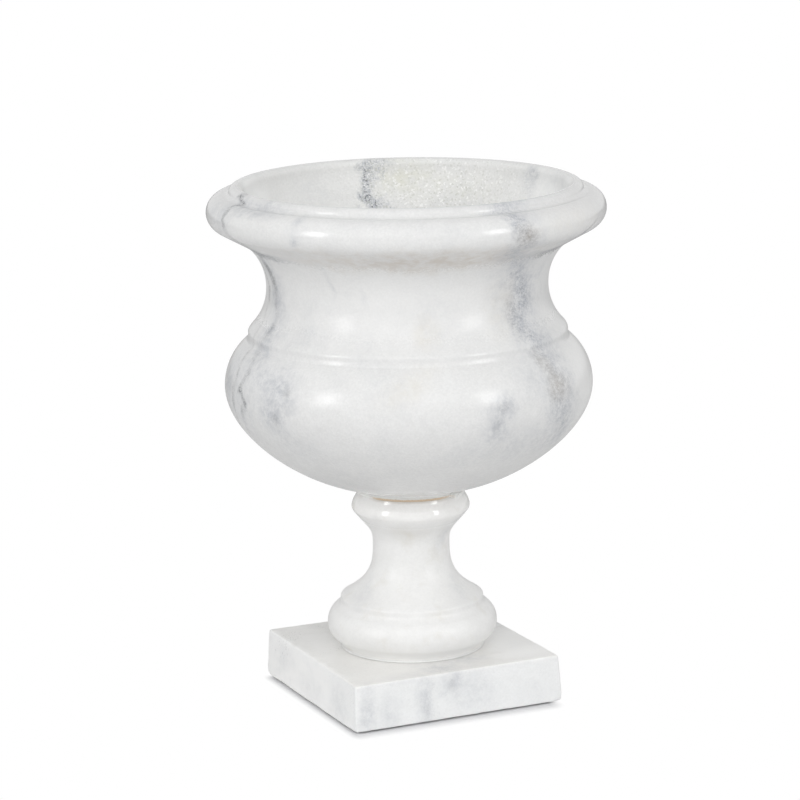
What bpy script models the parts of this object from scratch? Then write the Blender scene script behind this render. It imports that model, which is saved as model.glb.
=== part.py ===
"""Marble urn: a turned bowl on a turned pedestal and a square plinth.

The stones are bedded in adhesive and drawn together by a hidden tie rod.
Metres, +Z up. The urn stands on its pads at z = 0, with the plinth's sides along X and Y.
"""

import math

import bpy

# Fit between pieces
FIT_GAP = 0.0003
ROD_CLEARANCE = 0.001

# Pads and plinth
PAD_RADIUS = 0.011
PAD_THICKNESS = 0.0012
PAD_INSET = 0.023
PLINTH_WIDTH = 0.174
PLINTH_TAPER = 0.001
PLINTH_THICKNESS = 0.036
PLINTH_ARRIS = 0.0014

# Pedestal, from its underside up
PEDESTAL_HEIGHT = 0.1226
PEDESTAL_BED_THICKNESS = 0.0006
PEDESTAL_BED_SETBACK = 0.0012
BASE_DISC_RADIUS = 0.0549
BASE_DISC_HEIGHT = 0.0029
BASE_ROLL_REACH = 0.0661
BASE_ROLL_RADIUS = 0.0158
STEP_RADIUS = 0.0556
STEP_RISE = 0.0047
STEP_EASE = 0.0022
SCOTIA_SHARE = 0.5471
SCOTIA_FOOT_PULL = 0.544
SCOTIA_STEM_PULL = 0.436
SCOTIA_LEAN = 60.0
STEM_RADIUS = 0.0298
STEM_SHARE = 0.0709
FLARE_STEM_PULL = 0.368
FLARE_CAP_PULL = 0.518
FLARE_SLOPE = 38.0
CAP_REACH = 0.0459
CAP_ROLL_RADIUS = 0.0057
CAP_RISE = 0.0117
CAP_SLOPE = 30.0
CAP_EDGE_EASE = 0.0025

# Bowl, from its underside up
BOWL_HEIGHT = 0.2379
BOWL_BED_THICKNESS = 0.002
FOOT_RADIUS = 0.0415
FOOT_HEIGHT = 0.0036
BELLY_RADIUS = 0.1414
BELLY_SHARE = 0.3787
BELLY_DROP_PULL = 0.497
BELLY_FOOT_PULL = 0.346
BELLY_CURVE = 0.045
BAND_RADIUS = 0.1226
BAND_SHARE = 0.1858
BAND_WIDTH = 0.0046
BAND_COVE = 0.0012
NECK_RADIUS = 0.1078
NECK_SHARE = 0.1595
NECK_CURVE = 0.0451
CREASE_SHARE = 0.1585
LIP_RADIUS = 0.1525
LIP_ROLL_RADIUS = 0.0136
LIP_UNDERCUT = 60.5
BEAD_RADIUS = 0.0058
BEAD_REACH = 0.1351
BEAD_RISE = 0.0145

# Hollow of the bowl
NECK_WALL = 0.0148
BELLY_WALL = 0.0294
FLOOR_COVER = 0.0136
FLOOR_RADIUS = 0.052
FLOOR_PULL = 0.6
WALL_PULL = 0.4
THROAT_PULL = 0.36
BRIM_PULL = 0.3

# Tie rod and its fastening
ROD_RADIUS = 0.005
ROD_TAIL = 0.0024
SOCKET_DEPTH = 0.02
ANCHOR_WALL = 0.0024
ANCHOR_CROWN = 0.002
BED_BORE_MARGIN = 0.003
WASHER_RADIUS = 0.0125
WASHER_THICKNESS = 0.002
NUT_FLATS = 0.017
NUT_HEIGHT = 0.008
RECESS_MARGIN = 0.003
RECESS_DEPTH = 0.018
CUT_PAST = 0.01

# Points of an outline nearer than this are one
SAME_POINT = 0.000001

# Facets round the axis
BOWL_STEPS = 48
PEDESTAL_STEPS = 36
SMALL_STEPS = 24


def arc(centre, radius, start, end, steps):
    """Points of a circular arc in the (radius, height) plane, angles in degrees."""
    points = []
    for index in range(steps + 1):
        angle = math.radians(start + (end - start) * index / steps)
        points.append((centre[0] + radius * math.cos(angle), centre[1] + radius * math.sin(angle)))
    return points


def curve(first, first_handle, last_handle, last, steps):
    """Points of a cubic curve in the (radius, height) plane."""
    points = []
    for index in range(steps + 1):
        t = index / steps
        weights = ((1 - t) ** 3, 3 * (1 - t) ** 2 * t, 3 * (1 - t) * t**2, t**3)
        corners = (first, first_handle, last_handle, last)
        points.append(tuple(sum(w * corner[axis] for w, corner in zip(weights, corners)) for axis in (0, 1)))
    return points


def angle_at(radius, centre, roll):
    """Angle in degrees at which a roll's circle reaches a given distance from the axis."""
    return math.degrees(math.acos(max(-1.0, min(1.0, (radius - centre) / roll))))


# Levels of the stack
plinth_bottom = PAD_THICKNESS + FIT_GAP
plinth_top = plinth_bottom + PLINTH_THICKNESS
pedestal_bed_bottom = plinth_top + FIT_GAP
pedestal_bottom = pedestal_bed_bottom + PEDESTAL_BED_THICKNESS + FIT_GAP
disc_angle = -angle_at(BASE_DISC_RADIUS, BASE_ROLL_REACH - BASE_ROLL_RADIUS, BASE_ROLL_RADIUS)
roll_height = BASE_DISC_HEIGHT - BASE_ROLL_RADIUS * math.sin(math.radians(disc_angle))
step_angle = angle_at(STEP_RADIUS, BASE_ROLL_REACH - BASE_ROLL_RADIUS, BASE_ROLL_RADIUS)
step_height = roll_height + BASE_ROLL_RADIUS * math.sin(math.radians(step_angle)) + STEP_RISE
shaft = PEDESTAL_HEIGHT - step_height - CAP_RISE
stem_low = step_height + SCOTIA_SHARE * shaft
stem_high = stem_low + STEM_SHARE * shaft
cap_height = step_height + shaft
pedestal_top = pedestal_bottom + PEDESTAL_HEIGHT
bowl_bed_bottom = pedestal_top + FIT_GAP
bowl_bottom = bowl_bed_bottom + BOWL_BED_THICKNESS + FIT_GAP
bead_height = BOWL_HEIGHT - BEAD_RADIUS
lip_height = bead_height - BEAD_RISE
sides = lip_height - FOOT_HEIGHT - BAND_WIDTH
belly_height = FOOT_HEIGHT + BELLY_SHARE * sides
band_bottom = belly_height + BAND_SHARE * sides
band_top = band_bottom + BAND_WIDTH
neck_height = band_top + NECK_SHARE * sides
crease_height = neck_height + CREASE_SHARE * sides
floor_height = SOCKET_DEPTH + FLOOR_COVER
rod_hole_radius = ROD_RADIUS + ROD_CLEARANCE
thread_radius = ROD_RADIUS + FIT_GAP
anchor_radius = thread_radius + ANCHOR_WALL
socket_radius = anchor_radius + FIT_GAP
bed_bore_radius = socket_radius + BED_BORE_MARGIN
nut_corner = NUT_FLATS / 2 / math.cos(math.pi / 6)
recess_radius = max(WASHER_RADIUS, nut_corner) + RECESS_MARGIN
recess_top = plinth_bottom + RECESS_DEPTH
washer_top = recess_top - FIT_GAP
nut_top = washer_top - WASHER_THICKNESS - FIT_GAP
nut_bottom = nut_top - NUT_HEIGHT
rod_bottom = nut_bottom - ROD_TAIL
anchor_top = bowl_bottom + SOCKET_DEPTH - FIT_GAP
rod_top = anchor_top - ANCHOR_CROWN - FIT_GAP


def chain(*stretches):
    """Joins stretches of outline, leaving out a point that repeats the one before it."""
    points = []
    for stretch in stretches:
        for point in stretch:
            if not points or math.dist(point, points[-1]) > SAME_POINT:
                points.append(point)
    return points


def height_angle(height, centre, radius):
    """Angle in degrees at which a circle reaches a given height."""
    return math.degrees(math.asin(max(-1.0, min(1.0, (height - centre) / radius))))


def outer_bowl():
    """Outside of the bowl from its bead down to its foot."""
    lip_centre = (LIP_RADIUS - LIP_ROLL_RADIUS, lip_height)
    bead_centre = (BEAD_REACH - BEAD_RADIUS, bead_height)
    groove_angle = angle_at(BEAD_REACH, lip_centre[0], LIP_ROLL_RADIUS)
    groove = lip_height + LIP_ROLL_RADIUS * math.sin(math.radians(groove_angle))
    bead = arc(bead_centre, BEAD_RADIUS, 180, height_angle(groove, bead_height, BEAD_RADIUS), 8)
    lip = arc(lip_centre, LIP_ROLL_RADIUS, groove_angle, -LIP_UNDERCUT, 9)
    neck_centre = (NECK_RADIUS + NECK_CURVE, neck_height)
    neck_high = 180 - height_angle(crease_height, neck_height, NECK_CURVE)
    neck_low = 180 - height_angle(band_top, neck_height, NECK_CURVE)
    neck = arc(neck_centre, NECK_CURVE, neck_high, neck_low, 8)
    band = [(BAND_RADIUS, band_top), (BAND_RADIUS, band_bottom)]
    belly_centre = (BELLY_RADIUS - BELLY_CURVE, belly_height)
    crown = angle_at(BAND_RADIUS + BAND_COVE, belly_centre[0], BELLY_CURVE)
    upper = arc(belly_centre, BELLY_CURVE, crown, 0, 5)
    reach = BELLY_RADIUS - FOOT_RADIUS
    drop = belly_height - FOOT_HEIGHT
    lower = curve(
        upper[-1],
        (BELLY_RADIUS, belly_height - BELLY_DROP_PULL * drop),
        (FOOT_RADIUS + BELLY_FOOT_PULL * reach, FOOT_HEIGHT),
        (FOOT_RADIUS, FOOT_HEIGHT),
        11,
    )
    return chain(bead, lip, neck, band, upper, lower, [(FOOT_RADIUS, 0.0)])


def inner_bowl(brim):
    """Hollow of the bowl from its floor up to the brim, the inner edge of the bead."""
    throat = (NECK_RADIUS - NECK_WALL, neck_height)
    wide = (BELLY_RADIUS - BELLY_WALL, belly_height)
    rise = belly_height - floor_height
    low = curve(
        (FLOOR_RADIUS, floor_height),
        (FLOOR_RADIUS + FLOOR_PULL * (wide[0] - FLOOR_RADIUS), floor_height),
        (wide[0], belly_height - FLOOR_PULL * rise),
        wide,
        5,
    )
    span = neck_height - belly_height
    middle = curve(
        wide,
        (wide[0], belly_height + WALL_PULL * span),
        (throat[0], neck_height - WALL_PULL * span),
        throat,
        5,
    )
    climb = brim[1] - neck_height
    high = curve(
        throat,
        (throat[0], neck_height + THROAT_PULL * climb),
        (brim[0], brim[1] - BRIM_PULL * climb),
        brim,
        6,
    )
    return chain([(0.0, floor_height)], low, middle, high)


def bowl_outline():
    """Closed on the axis: floor, hollow, outside, foot and the blind socket for the rod."""
    outside = outer_bowl()
    socket = [(socket_radius, 0.0), (socket_radius, SOCKET_DEPTH), (0.0, SOCKET_DEPTH)]
    return chain(inner_bowl(outside[0]), outside, socket)


def pedestal_outline():
    """Closed ring outline: top face, outside from top to bottom, underside and rod hole."""
    cap = arc((CAP_REACH - CAP_ROLL_RADIUS, cap_height), CAP_ROLL_RADIUS, CAP_SLOPE, -FLARE_SLOPE, 4)
    ease_height = PEDESTAL_HEIGHT - CAP_EDGE_EASE
    ease_start = ease_height + CAP_EDGE_EASE * math.sin(math.radians(CAP_SLOPE))
    ease_reach = cap[0][0] - (ease_start - cap[0][1]) * math.tan(math.radians(CAP_SLOPE))
    ease_centre = (ease_reach - CAP_EDGE_EASE * math.cos(math.radians(CAP_SLOPE)), ease_height)
    edge = arc(ease_centre, CAP_EDGE_EASE, 90, CAP_SLOPE, 3)
    sweep = math.radians(FLARE_SLOPE)
    rise = cap_height - stem_high
    cap_pull = FLARE_CAP_PULL * rise
    flare = curve(
        cap[-1],
        (cap[-1][0] - cap_pull * math.sin(sweep), cap[-1][1] - cap_pull * math.cos(sweep)),
        (STEM_RADIUS, stem_high + FLARE_STEM_PULL * rise),
        (STEM_RADIUS, stem_high),
        5,
    )
    step = arc((STEP_RADIUS - STEP_EASE, step_height), STEP_EASE, SCOTIA_LEAN, 0, 3)
    lean = math.radians(SCOTIA_LEAN)
    fall = stem_low - step_height
    foot_pull = SCOTIA_FOOT_PULL * fall
    scotia = curve(
        (STEM_RADIUS, stem_low),
        (STEM_RADIUS, stem_low - SCOTIA_STEM_PULL * fall),
        (step[0][0] - foot_pull * math.sin(lean), step[0][1] + foot_pull * math.cos(lean)),
        step[0],
        7,
    )
    roll_centre = (BASE_ROLL_REACH - BASE_ROLL_RADIUS, roll_height)
    roll = arc(roll_centre, BASE_ROLL_RADIUS, step_angle, disc_angle, 10)
    disc = [(BASE_DISC_RADIUS, BASE_DISC_HEIGHT), (BASE_DISC_RADIUS, 0.0)]
    hole = [(rod_hole_radius, 0.0), (rod_hole_radius, PEDESTAL_HEIGHT)]
    return chain(edge, cap, flare, scotia, step, roll, disc, hole)


def top_face_radius(outline):
    """Radius of the flat on top of an outline that starts on it."""
    return outline[0][0]


def ring_outline(bore, reach, height):
    """Plain ring with a bore."""
    return [(bore, height), (reach, height), (reach, 0.0), (bore, 0.0)]


def anchor_outline():
    """Cup of resin round the end of the rod."""
    height = anchor_top - bowl_bottom
    mouth = rod_top + FIT_GAP - bowl_bottom
    return [
        (0.0, height),
        (anchor_radius, height),
        (anchor_radius, 0.0),
        (thread_radius, 0.0),
        (thread_radius, mouth),
        (0.0, mouth),
    ]


def plain_rod_outline(radius, length):
    """Round bar, closed on the axis."""
    return [(0.0, length), (radius, length), (radius, 0.0), (0.0, 0.0)]


def material(name, colour, roughness, metallic=0.0):
    made = bpy.data.materials.new(name)
    made.use_nodes = True
    shader = made.node_tree.nodes["Principled BSDF"]
    shader.inputs["Base Color"].default_value = (*colour, 1.0)
    shader.inputs["Roughness"].default_value = roughness
    shader.inputs["Metallic"].default_value = metallic
    return made


def place(name, mesh, collection, look, location):
    made = bpy.data.objects.new(name, mesh)
    made.location = location
    collection.objects.link(made)
    if look is not None:
        mesh.materials.append(look)
    return made


def turned(name, outline, base, steps, collection, look, ring=False, centre=(0.0, 0.0)):
    """Piece of revolution about the vertical through centre, from an outline set at a base height."""
    count = len(outline)
    points = [(radius, 0.0, height) for radius, height in outline]
    edges = [(index, index + 1) for index in range(count - 1)]
    if ring:
        edges.append((count - 1, 0))
    mesh = bpy.data.meshes.new(name)
    mesh.from_pydata(points, edges, [])
    made = place(name, mesh, collection, look, (centre[0], centre[1], base))
    screw = made.modifiers.new("turning", "SCREW")
    screw.steps = steps
    screw.render_steps = steps
    screw.use_merge_vertices = True
    screw.merge_threshold = 0.00005
    screw.use_smooth_shade = True
    return made


def prism(name, bottom, top, height, base, collection, look):
    """Straight or tapered prism between two outlines with the same number of corners."""
    count = len(bottom)
    points = [(x, y, 0.0) for x, y in bottom] + [(x, y, height) for x, y in top]
    faces = [tuple(reversed(range(count))), tuple(range(count, 2 * count))]
    for index in range(count):
        follow = (index + 1) % count
        faces.append((index, follow, count + follow, count + index))
    mesh = bpy.data.meshes.new(name)
    mesh.from_pydata(points, [], faces)
    return place(name, mesh, collection, look, (0.0, 0.0, base))


def cut(piece, cutter):
    boolean = piece.modifiers.new(cutter.name, "BOOLEAN")
    boolean.operation = "DIFFERENCE"
    boolean.solver = "EXACT"
    boolean.object = cutter


def square(half):
    return [(-half, -half), (half, -half), (half, half), (-half, half)]


for leftover in list(bpy.data.objects):
    bpy.data.objects.remove(leftover)

urn = bpy.data.collections.new("marble_urn")
cutters = bpy.data.collections.new("cutters")
bpy.context.scene.collection.children.link(urn)
bpy.context.scene.collection.children.link(cutters)

bowl_marble = material("bowl_marble", (0.80, 0.81, 0.81), 0.22)
turned("bowl", bowl_outline(), bowl_bottom, BOWL_STEPS, urn, bowl_marble)

pedestal = pedestal_outline()
pedestal_marble = material("pedestal_marble", (0.83, 0.83, 0.81), 0.2)
turned("pedestal", pedestal, pedestal_bottom, PEDESTAL_STEPS, urn, pedestal_marble, ring=True)

bowl_bed_reach = min(top_face_radius(pedestal), FOOT_RADIUS) - FIT_GAP
bowl_bed = ring_outline(bed_bore_radius, bowl_bed_reach, BOWL_BED_THICKNESS)
tan_adhesive = material("tan_adhesive", (0.42, 0.25, 0.10), 0.55)
turned("bowl_bed", bowl_bed, bowl_bed_bottom, PEDESTAL_STEPS, urn, tan_adhesive, ring=True)

pedestal_bed_reach = BASE_DISC_RADIUS - PEDESTAL_BED_SETBACK
pedestal_bed = ring_outline(bed_bore_radius, pedestal_bed_reach, PEDESTAL_BED_THICKNESS)
pale_adhesive = material("pale_adhesive", (0.72, 0.70, 0.64), 0.6)
turned("pedestal_bed", pedestal_bed, pedestal_bed_bottom, PEDESTAL_STEPS, urn, pale_adhesive, ring=True)

half_width = PLINTH_WIDTH / 2
plinth_marble = material("plinth_marble", (0.78, 0.79, 0.79), 0.3)
foot_square = square(half_width)
top_square = square(half_width - PLINTH_TAPER)
plinth = prism("plinth", foot_square, top_square, PLINTH_THICKNESS, plinth_bottom, urn, plinth_marble)
arris = plinth.modifiers.new("arris", "BEVEL")
arris.width = PLINTH_ARRIS
arris.segments = 2

recess_outline = [
    (0.0, PLINTH_THICKNESS + CUT_PAST),
    (rod_hole_radius, PLINTH_THICKNESS + CUT_PAST),
    (rod_hole_radius, RECESS_DEPTH),
    (recess_radius, RECESS_DEPTH),
    (recess_radius, -CUT_PAST),
    (0.0, -CUT_PAST),
]
recess = turned("recess_cutter", recess_outline, plinth_bottom, SMALL_STEPS, cutters, None)
cut(plinth, recess)

rod = plain_rod_outline(ROD_RADIUS, rod_top - rod_bottom)
rod_steel = material("rod_steel", (0.55, 0.55, 0.56), 0.35, 1.0)
turned("tie_rod", rod, rod_bottom, SMALL_STEPS, urn, rod_steel)

anchor_resin = material("anchor_resin", (0.55, 0.46, 0.30), 0.45)
turned("rod_anchor", anchor_outline(), bowl_bottom, SMALL_STEPS, urn, anchor_resin)

washer = ring_outline(thread_radius, WASHER_RADIUS, WASHER_THICKNESS)
washer_steel = material("washer_steel", (0.60, 0.60, 0.61), 0.3, 1.0)
turned("rod_washer", washer, washer_top - WASHER_THICKNESS, SMALL_STEPS, urn, washer_steel, ring=True)

hexagon = []
for corner in range(6):
    turn = corner * math.pi / 3
    hexagon.append((nut_corner * math.cos(turn), nut_corner * math.sin(turn)))
nut_steel = material("nut_steel", (0.58, 0.58, 0.6), 0.3, 1.0)
nut = prism("rod_nut", hexagon, hexagon, NUT_HEIGHT, nut_bottom, urn, nut_steel)
bore_outline = plain_rod_outline(thread_radius, NUT_HEIGHT + 2 * CUT_PAST)
bore = turned("nut_bore_cutter", bore_outline, nut_bottom - CUT_PAST, SMALL_STEPS, cutters, None)
cut(nut, bore)

pad_place = half_width - PAD_INSET
pad = plain_rod_outline(PAD_RADIUS, PAD_THICKNESS)
pad_felt = material("pad_felt", (0.30, 0.29, 0.28), 0.95)
for name, side_x, side_y in (
    ("pad_front_left", -1, -1),
    ("pad_front_right", 1, -1),
    ("pad_rear_left", -1, 1),
    ("pad_rear_right", 1, 1),
):
    turned(name, pad, 0.0, SMALL_STEPS, urn, pad_felt, centre=(side_x * pad_place, side_y * pad_place))

for cutter in cutters.objects:
    cutter.hide_render = True
    cutter.display_type = "WIRE"
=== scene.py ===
"""Marble urn: turned bowl and pedestal on a square plinth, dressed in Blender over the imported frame.

Metres, +Z up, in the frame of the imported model. The urn stands on its pads at z = 0.
"""

import math

import bmesh
import bpy
from mathutils import Matrix, Vector, noise


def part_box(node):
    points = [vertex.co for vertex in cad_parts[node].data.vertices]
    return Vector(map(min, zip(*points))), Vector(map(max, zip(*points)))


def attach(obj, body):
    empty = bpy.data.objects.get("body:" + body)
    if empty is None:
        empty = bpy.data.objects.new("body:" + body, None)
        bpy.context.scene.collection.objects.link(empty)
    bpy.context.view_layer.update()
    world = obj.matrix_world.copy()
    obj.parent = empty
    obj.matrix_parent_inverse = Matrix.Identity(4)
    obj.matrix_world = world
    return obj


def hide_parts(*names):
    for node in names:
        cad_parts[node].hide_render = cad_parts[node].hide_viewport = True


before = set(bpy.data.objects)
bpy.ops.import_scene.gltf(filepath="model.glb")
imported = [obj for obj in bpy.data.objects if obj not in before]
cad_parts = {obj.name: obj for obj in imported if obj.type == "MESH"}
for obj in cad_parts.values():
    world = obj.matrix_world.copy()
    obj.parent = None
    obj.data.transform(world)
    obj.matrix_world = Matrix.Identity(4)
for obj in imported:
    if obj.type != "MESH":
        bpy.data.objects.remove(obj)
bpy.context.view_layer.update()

# Where the photograph was taken from, about the urn's axis
CAMERA_TURN = 0.4333990
CAMERA_DISTANCE = 2.474128
CAMERA_HEIGHT = 0.773907
CAMERA_PITCH = 0.2156685
CAMERA_YAW = -0.0028154
CAMERA_ROLL = 0.0155451
CAMERA_LENS = 147.8990
CAMERA_SIGHT = 50.0
SENSOR_WIDTH = 36.0

# Directions on the floor as the photograph sees the urn: towards the camera, and to its right
FRONT = (-math.sin(CAMERA_TURN), -math.cos(CAMERA_TURN))
RIGHT = (math.cos(CAMERA_TURN), -math.sin(CAMERA_TURN))


def heading(turn):
    """Direction on the floor at an angle from the camera's, in radians to its right."""
    return [math.cos(turn) * FRONT[axis] + math.sin(turn) * RIGHT[axis] for axis in (0, 1)]


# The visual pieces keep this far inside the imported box
SHY = 0.0001

# Bowl, heights from its underside
FOOT_RADIUS = 0.0415
FOOT_HEIGHT = 0.0036
BELLY_RADIUS = 0.1414
BELLY_HEIGHT = 0.0829
BELLY_CURVE = 0.045
BELLY_DROP_PULL = 0.497
BELLY_FOOT_PULL = 0.346
BAND_RADIUS = 0.1226
BAND_BOTTOM = 0.1218
BAND_TOP = 0.1264
BAND_COVE = 0.0012
BAND_EASE = 0.0020
NECK_RADIUS = 0.1078
NECK_HEIGHT = 0.1598
NECK_CURVE = 0.0451
CREASE_HEIGHT = 0.1930
LIP_RADIUS = 0.1525 - SHY
LIP_HEIGHT = 0.2176
LIP_ROLL_RADIUS = 0.0136
LIP_UNDERCUT = 60.5
BEAD_REACH = 0.1351
BEAD_RADIUS = 0.0058
BEAD_HEIGHT = 0.2321 - SHY
HOLLOW_FLOOR = 0.0336
HOLLOW_FLOOR_RADIUS = 0.052
HOLLOW_WIDE = 0.112
HOLLOW_THROAT = 0.093
HOLLOW_FLOOR_PULL = 0.6
HOLLOW_WALL_PULL = 0.4
THROAT_PULL = 0.36
BRIM_PULL = 0.3
SOCKET_RADIUS = 0.0080
SOCKET_DEPTH = 0.020
CORNER_EASE = 0.0006
TURNING_WAVER = 0.0003

# Pedestal, heights from its underside
PEDESTAL_HEIGHT = 0.1226
DISC_RADIUS = 0.0549
DISC_HEIGHT = 0.0029
HEEL_REACH = 0.0006
HEEL_SHARE = 0.3
ROLL_REACH = 0.0661
ROLL_RADIUS = 0.0158
ROLL_HEIGHT = 0.0180
STEP_RADIUS = 0.0556
STEP_HEIGHT = 0.0376
STEP_EASE = 0.0022
STEP_FACE = 0.0020
STEP_UNDERCUT = 0.0002
STEM_RADIUS = 0.0298
STEM_LOW = 0.0777
STEM_HIGH = 0.0829
CAP_REACH = 0.0459
CAP_ROLL_RADIUS = 0.0057
CAP_HEIGHT = 0.1109
CROWN_LEAN = 18.0
CROWN_TURN = 0.0006
CROWN_FACE = 0.0022
CROWN_PULL = 0.0016
RIM_RADIUS = 0.0421
RIM_FACE = 0.0022
RIM_EASE = 0.0004
FLARE_SLOPE = 38.0
FLARE_CAP_HANDLE = 0.0145
FLARE_STEM_HANDLE = 0.0103
SCOTIA_LEAN = 60.0
SCOTIA_FOOT_HANDLE = 0.0218
SCOTIA_STEM_HANDLE = 0.0175
ROD_HOLE_RADIUS = 0.006

# Plinth
PLINTH_HALF = 0.0869
PLINTH_TAPER = 0.0010
PLINTH_ARRIS = 0.0013
PLINTH_WEAR = 0.0007
CORNER_WEAR = 0.0012
TOP_CORNER_WEAR = 0.0010
# Where the wear of a corner starts: 2 is the corner itself, in half sizes summed over both axes
CORNER_START = 1.90
CORNER_SPAN = 0.10
# Shares of the plinth's height that the chips at its foot and top take up
FOOT_CHIP = 0.22
TOP_CHIP = 0.2
RECESS_RADIUS = 0.0155
RECESS_DEPTH = 0.018

# Beds, rod and pads
BED_BORE = 0.011
THREAD_PITCH = 0.0015
THREAD_DEPTH = 0.0009
THREAD_RUN_OUT = 0.0012
ROD_RADIUS = 0.00498
ROD_BORE = 0.0053
NUT_FLATS = 0.017
NUT_BORE_EDGE = 0.0058
NUT_CHAMFER = 1.9
NUT_EASE = 0.0005
WASHER_RADIUS = 0.01245
WASHER_EASE = 0.0004
ANCHOR_RADIUS = 0.0077
ANCHOR_CAP = 0.002
ANCHOR_EASE = 0.0005
PAD_RADIUS = 0.01095
PAD_EASE = 0.0004
PAD_EDGE = 0.9 * PAD_RADIUS
PAD_FRAY = 0.00025

# Columns round the axis, rows of the rod, and rows past the brim where the hollow's look starts to fade out
BOWL_COLUMNS = 224
BED_COLUMNS = 180
PEDESTAL_COLUMNS = 160
SMALL_COLUMNS = 96
ROD_COLUMNS = 24
ROD_ROWS = 940
BRIM_ROWS = 3
HOLLOW_FADE_ROWS = 9

# Edges sharper than these, in degrees, stay true corners
STONE_CORNER = 32.0
BORED_CORNER = 40.0
THREAD_CORNER = 60.0

# Points closer than these are one point
SAME_IN_OUTLINE = 0.00002
SAME_IN_MESH = 0.000004
SAME_IN_FACE = 0.000001


def base_of(node):
    """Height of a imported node's underside."""
    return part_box(node)[0].z


def rise_of(node):
    """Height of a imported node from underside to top."""
    low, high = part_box(node)
    return high.z - low.z


def direct(operation):
    """Operator of a Flow that adds one Math node."""
    return lambda flow, *others: flow.bench.math(operation, flow, *others)


def reflected(operation):
    """The same with the plain number first."""
    return lambda flow, other: flow.bench.math(operation, other, flow)


class Flow:
    """A socket in a node tree. Arithmetic on it adds Math nodes."""

    def __init__(self, bench, socket):
        self.bench = bench
        self.socket = socket

    def out(self, name):
        """Another output of the same node."""
        return Flow(self.bench, self.socket.node.outputs[name])

    __add__, __radd__ = direct("ADD"), reflected("ADD")
    __sub__, __rsub__ = direct("SUBTRACT"), reflected("SUBTRACT")
    __mul__, __rmul__ = direct("MULTIPLY"), reflected("MULTIPLY")
    __truediv__, __rtruediv__ = direct("DIVIDE"), reflected("DIVIDE")
    __mod__, __rmod__ = direct("FLOORED_MODULO"), reflected("FLOORED_MODULO")
    __abs__ = direct("ABSOLUTE")
    least = direct("MINIMUM")
    most = direct("MAXIMUM")
    below = direct("LESS_THAN")


class Bench:
    """A node tree that is being built."""

    def __init__(self, tree):
        self.tree = tree

    def add(self, kind, settings=None, sockets=None, out=0):
        """Adds a node: its settings first, then the values or links of its sockets."""
        node = self.tree.nodes.new(kind)
        for name, value in (settings or {}).items():
            if name == "stops":
                ramp = node.color_ramp
                while len(ramp.elements) < len(value):
                    ramp.elements.new(1.0)
                for element, (place, colour) in zip(ramp.elements, value):
                    element.position = place
                    element.color = (*colour, 1.0)
            else:
                setattr(node, name, value)
        self.plug(node, sockets or {})
        return Flow(self, node.outputs[out]) if node.outputs else node

    def plug(self, node, sockets):
        """Links sockets of a node, or sets their values."""
        for name, value in sockets.items():
            if isinstance(value, Flow):
                self.tree.links.new(value.socket, node.inputs[name])
            else:
                node.inputs[name].default_value = value

    def math(self, operation, *values):
        return self.add("ShaderNodeMath", {"operation": operation}, dict(enumerate(values)))

    def vector(self, operation, *values, out=0):
        return self.add("ShaderNodeVectorMath", {"operation": operation}, dict(enumerate(values)), out)

    def combine(self, x, y, z):
        return self.add("ShaderNodeCombineXYZ", None, {0: x, 1: y, 2: z})

    def split(self, vector):
        first = self.add("ShaderNodeSeparateXYZ", None, {0: vector})
        return first, first.out("Y"), first.out("Z")

    def mix(self, factor, first, second, blend="MIX"):
        """Mix of two colours."""
        settings = {"data_type": "RGBA", "blend_type": blend}
        return self.add("ShaderNodeMix", settings, {0: factor, 6: first, 7: second}, 2)

    def ease(self, value, low, high, start=0.0, end=1.0):
        """Smooth step of a value from low to high, mapped to start and end."""
        settings = {"interpolation_type": "SMOOTHSTEP"}
        return self.add("ShaderNodeMapRange", settings, {0: value, 1: low, 2: high, 3: start, 4: end})

    def cloud(self, place, scale, detail=3.0, rough=0.5, out=0, distortion=0.0):
        """Noise of about one feature per 1/scale metres."""
        sockets = {"Vector": place, "Scale": scale, "Detail": detail, "Roughness": rough}
        return self.add("ShaderNodeTexNoise", None, {**sockets, "Distortion": distortion}, out)

    def place(self):
        """Object coordinates."""
        return self.add("ShaderNodeTexCoord", out="Object")

    def crystals(self, place, scale):
        """Three random values for each cell of about 1/scale metres."""
        sockets = {"Vector": place, "Scale": scale, "Randomness": 1.0}
        return self.split(self.add("ShaderNodeTexVoronoi", {"feature": "F1"}, sockets, "Color"))

    def shaded(self, tint, level):
        """Colour times a level of grey."""
        return self.mix(1.0, tint, self.combine(level, level, level), "MULTIPLY")

    def bump(self, strength, distance, height):
        sockets = {"Strength": strength, "Distance": distance, "Height": height}
        return self.add("ShaderNodeBump", None, sockets)


# Outlines, as (radius, height) points


def arc(centre, radius, start, end, steps):
    points = []
    for index in range(steps + 1):
        angle = math.radians(start + (end - start) * index / steps)
        points.append((centre[0] + radius * math.cos(angle), centre[1] + radius * math.sin(angle)))
    return points


def curve(first, first_handle, last_handle, last, steps):
    points = []
    for index in range(steps + 1):
        t = index / steps
        weights = ((1 - t) ** 3, 3 * (1 - t) ** 2 * t, 3 * (1 - t) * t**2, t**3)
        corners = (first, first_handle, last_handle, last)
        points.append(tuple(sum(w * corner[axis] for w, corner in zip(weights, corners)) for axis in (0, 1)))
    return points


def rounded(first, corner, last, steps=8):
    """Soft bend from one point to another about a corner."""
    near = tuple((a + 2 * b) / 3 for a, b in zip(first, corner))
    far = tuple((a + 2 * b) / 3 for a, b in zip(last, corner))
    return curve(first, near, far, last, steps)


def line(first, last, steps):
    return [tuple(a + (b - a) * index / steps for a, b in zip(first, last)) for index in range(steps + 1)]


def chain(*stretches):
    """Joins stretches of outline, leaving out a point that repeats the one before it."""
    points = []
    for stretch in stretches:
        for point in stretch:
            if not points or math.dist(point, points[-1]) > SAME_IN_OUTLINE:
                points.append(point)
    return points


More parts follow.
